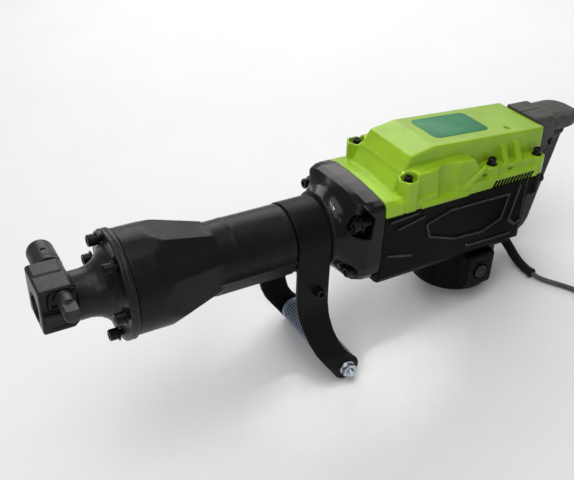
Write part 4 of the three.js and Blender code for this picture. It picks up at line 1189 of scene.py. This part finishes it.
def side_handle():
    body = Casting((299, -85, -196), (381, 85, 46), 1.0)
    body.add(bar("x", BAND_RADIUS, 300, 345, edge=1.2))
    body.cut(bar("x", BAND_BORE, 290, 355))
    body.cut(block(290, 355, -22, 22, -60, -20, 0.5))
    outline = [
        (300, 16), (300, -58), (300.6, -78), (302.4, -94), (306, -112), (311.5, -131), (318.5, -147),
        (328, -161),
    ] + arc(GRIP_X, GRIP_Z, 18.5, 205, 385, 14) + [
        (376, -166), (369, -159), (360.5, -150), (353, -137), (348, -121), (345.6, -104), (345, -80),
        (345, 16),
    ]
    shape = prism("y", outline, -90, 90)
    near = [(BAND_RADIUS, 6), (BAND_RADIUS, -70), (45, -84), (48, -98), (53, -111), (60, -126), (68, -142),
            (73.5, -154), (76, -166), (76, -200)]
    far = [(BAND_RADIUS, 6), (BAND_RADIUS, -38), (45.6, -50), (50.6, -64), (60, -80), (68.6, -96),
           (73.4, -112), (75.5, -128), (76, -142), (76, -200)]
    for way, line in ((-1, near), (1, far)):
        plate = [(way * y, z) for y, z in line] + [(way * (y - 7), z) for y, z in reversed(line)]
        bent = prism("x", plate, 290, 390)
        low, high = outward(way, 36, 77)
        body.add(common((299, low, -196), (381, high, 17), 1.6, bent, shape), 1.2)
        body.add(bar("y", 11.5, *outward(way, 40, 44.6), CLAMP, 0.8), 1)
    body.cut(bar("x", BAND_BORE, 290, 355))
    body.cut(bar("y", 4.4, -60, 60, CLAMP))
    body.cut(bar("y", 5.4, -90, 90, (GRIP_X, GRIP_Z)))
    cast("side_handle_frame", body, "side_handle", "strap_black", STRAP_PAINT, nodes=["side_handle_strap"])

    profile = [(-68, 5.6), (-68, 15.6), (-67.2, 17), (-66, 17.5), (-61.5, 17.5), (-60.8, 16.8)]
    for i in range(int(120 / RIB_PITCH)):
        start = -60 + RIB_PITCH * i
        for step, radius in RIB:
            profile.append((start + step, radius))
    profile += [(60.2, 15.8), (60.8, 16.8), (61.5, 17.5), (66, 17.5), (67.2, 17), (68, 15.6), (68, 5.6),
                (-68, 5.6)]
    grip = lathe("side_grip_sleeve", profile, "y", (GRIP_X, GRIP_Z), 56)
    finish_piece(grip, "side_handle", "grip_rubber", GRIP_RUBBER, SOFT_RUBBER, nodes=["side_grip"])
    # The grooves between the ribs take the near-black soft rubber: painted shade in the grooves of the one
    # rubber sleeve.
    paint_where(grip, lambda x, y, z: abs(y) < 61 and hypot(x - GRIP_X, z - GRIP_Z) < 16.3, 1)
    bolt = lathe("side_grip_bolt", [
        (-90, 0), (-90, 4), (-89.2, 4.8), (-88.4, 5), (-84, 5), (-83.6, 4.7), (-83, 5), (76.3, 5), (76.3, 9),
        (76.6, 9.3), (79, 9.1), (81.4, 7.6), (82.3, 5.2), (82.3, 3.4, "hex"), (79.4, 3, "hex"), (79.4, 0),
    ], "y", (GRIP_X, GRIP_Z), 48)
    finish_piece(bolt, "side_handle", "zinc_steel", ZINC, nodes=["grip_bolt"])
    nut = lathe("side_grip_nut", [
        (-85, 5.3), (-85, 7.3), (-84.2, 8.7, "hex"), (-78.6, 8.7, "hex"), (-78, 9.2), (-77.6, 10.6),
        (-76.9, 10.8), (-76.4, 10.6), (-76.4, 5.3), (-85, 5.3),
    ], "y", (GRIP_X, GRIP_Z), 60)
    finish_piece(nut, "side_handle", "zinc_steel", ZINC, nodes=["grip_nut"])
    cap_screw("strap_clamp_screw", "clamp_screw", "y", 1, "side_handle", washer=False)


# ---- screws, and the CAD pieces inside
def screws():
    for i in range(6):
        cap_screw(f"nose_flange_screw_{i + 1}", f"flange_bolt_{i + 1}", "x", 1)
    for i in range(4):
        cap_screw(f"case_flange_screw_{i + 1}", f"case_bolt_{i + 1}", "x", 1)
    for side in ("left", "right"):
        for i in range(3):
            cap_screw(f"cover_screw_{side}_{i + 1}", f"cover_bolt_{side}_{i + 1}", "z", -1)
    for i, (x, z) in enumerate(HANDLE_SCREWS):
        top = -17.2 if i else -28
        screw = lathe(f"handle_screw_{i + 1}", [
            (top + 2.6, 0), (top + 2.6, 1.4), (top + 1.6, 1.8), (top + 1.4, 3.6), (top + 2.2, 4.2),
            (top + 6, 4.2), (top + 6, 0),
        ], "y", (x, z), 32)
        finish_piece(screw, "root", "screw_black", BLACK_OXIDE)


INNER_PIECES = [
    (GROUND_STEEL, "second_hammer", "cylinder_sleeve", "striker", "piston", "piston_pin", "crank_bearing",
     "rotor_upper_bearing", "rotor_lower_bearing"),
    (GEAR_STEEL, "connecting_rod", "crankshaft", "crank_gear", "countershaft"),
    (CAST_PLATE, "bearing_plate"),
    (COPPER_CORE, "armature", "stator"),
    (CARBON, "carbon_brush_left", "carbon_brush_right"),
    (SOFT_RUBBER, "damper_ring"),
    (DARK_PLASTIC, "switch_body", "cooling_fan"),
]


def inner_pieces():
    for material, *names in INNER_PIECES:
        for name in names:
            node = frame["nodes"][name]
            node.data.materials.clear()
            node.data.materials.append(material)


# ---- floor and light
FLOOR_HEIGHT = -0.0004
LAMP_PLACES = [(259, 16, 1341), (128, -188, 1289)]
LAMP_TARGET = (355, -25, 43)
LAMP_SPREAD = radians(14)


def floor():
    bpy.ops.mesh.primitive_plane_add(size=14, location=(0, 0, FLOOR_HEIGHT))
    plane = bpy.context.object
    plane.name = "floor"
    plane.data.materials.append(FLOOR)


def area_light(name, position, target, size, energy, colour=(1, 1, 1), shape="RECTANGLE", height=None,
               spread=pi):
    data = bpy.data.lights.new(name, "AREA")
    data.shape, data.size, data.energy, data.spread, data.color = shape, size, energy, spread, colour
    if shape == "RECTANGLE":
        data.size_y = height or size
    lamp = new_object(name, data)
    lamp.location = position
    lamp.rotation_euler = (Vector(target) - Vector(position)).to_track_quat("-Z", "Y").to_euler()


def light():
    world = bpy.data.worlds.new("studio")
    bpy.context.scene.world = world
    world.use_nodes = True
    background = world.node_tree.nodes["Background"]
    set_inputs(background, {"Color": (0.93, 0.96, 1, 1), "Strength": 0.33})
    area_light("back", (0.95, 1.7, 1.35), (0, 0, 0.25), size=2.6, energy=28, colour=(1, 0.98, 0.95),
               height=1.3)
    area_light("overhead", (-0.2, -0.2, 2.0), (0, 0, 0.2), size=1.6, energy=17)
    area_light("key", (-1.2, -1.1, 1.5), (0, 0, 0.2), size=0.7, energy=5, colour=(1, 0.98, 0.94))
    for i, point in enumerate(LAMP_PLACES):
        area_light(f"lamp_{i + 1}", place(*point), place(*LAMP_TARGET), size=0.04, energy=0.03,
                   colour=(1, 0.99, 0.96), shape="DISK", spread=LAMP_SPREAD)
    bpy.context.scene.view_settings.view_transform = "Standard"


camera()
mains_lead()
front_cover()
retainer()
cylinder_case()
crankcase()
motor_housing()
gear_cover()
name_plate()
rear_handle()
side_handle()
screws()
inner_pieces()
floor()
light()
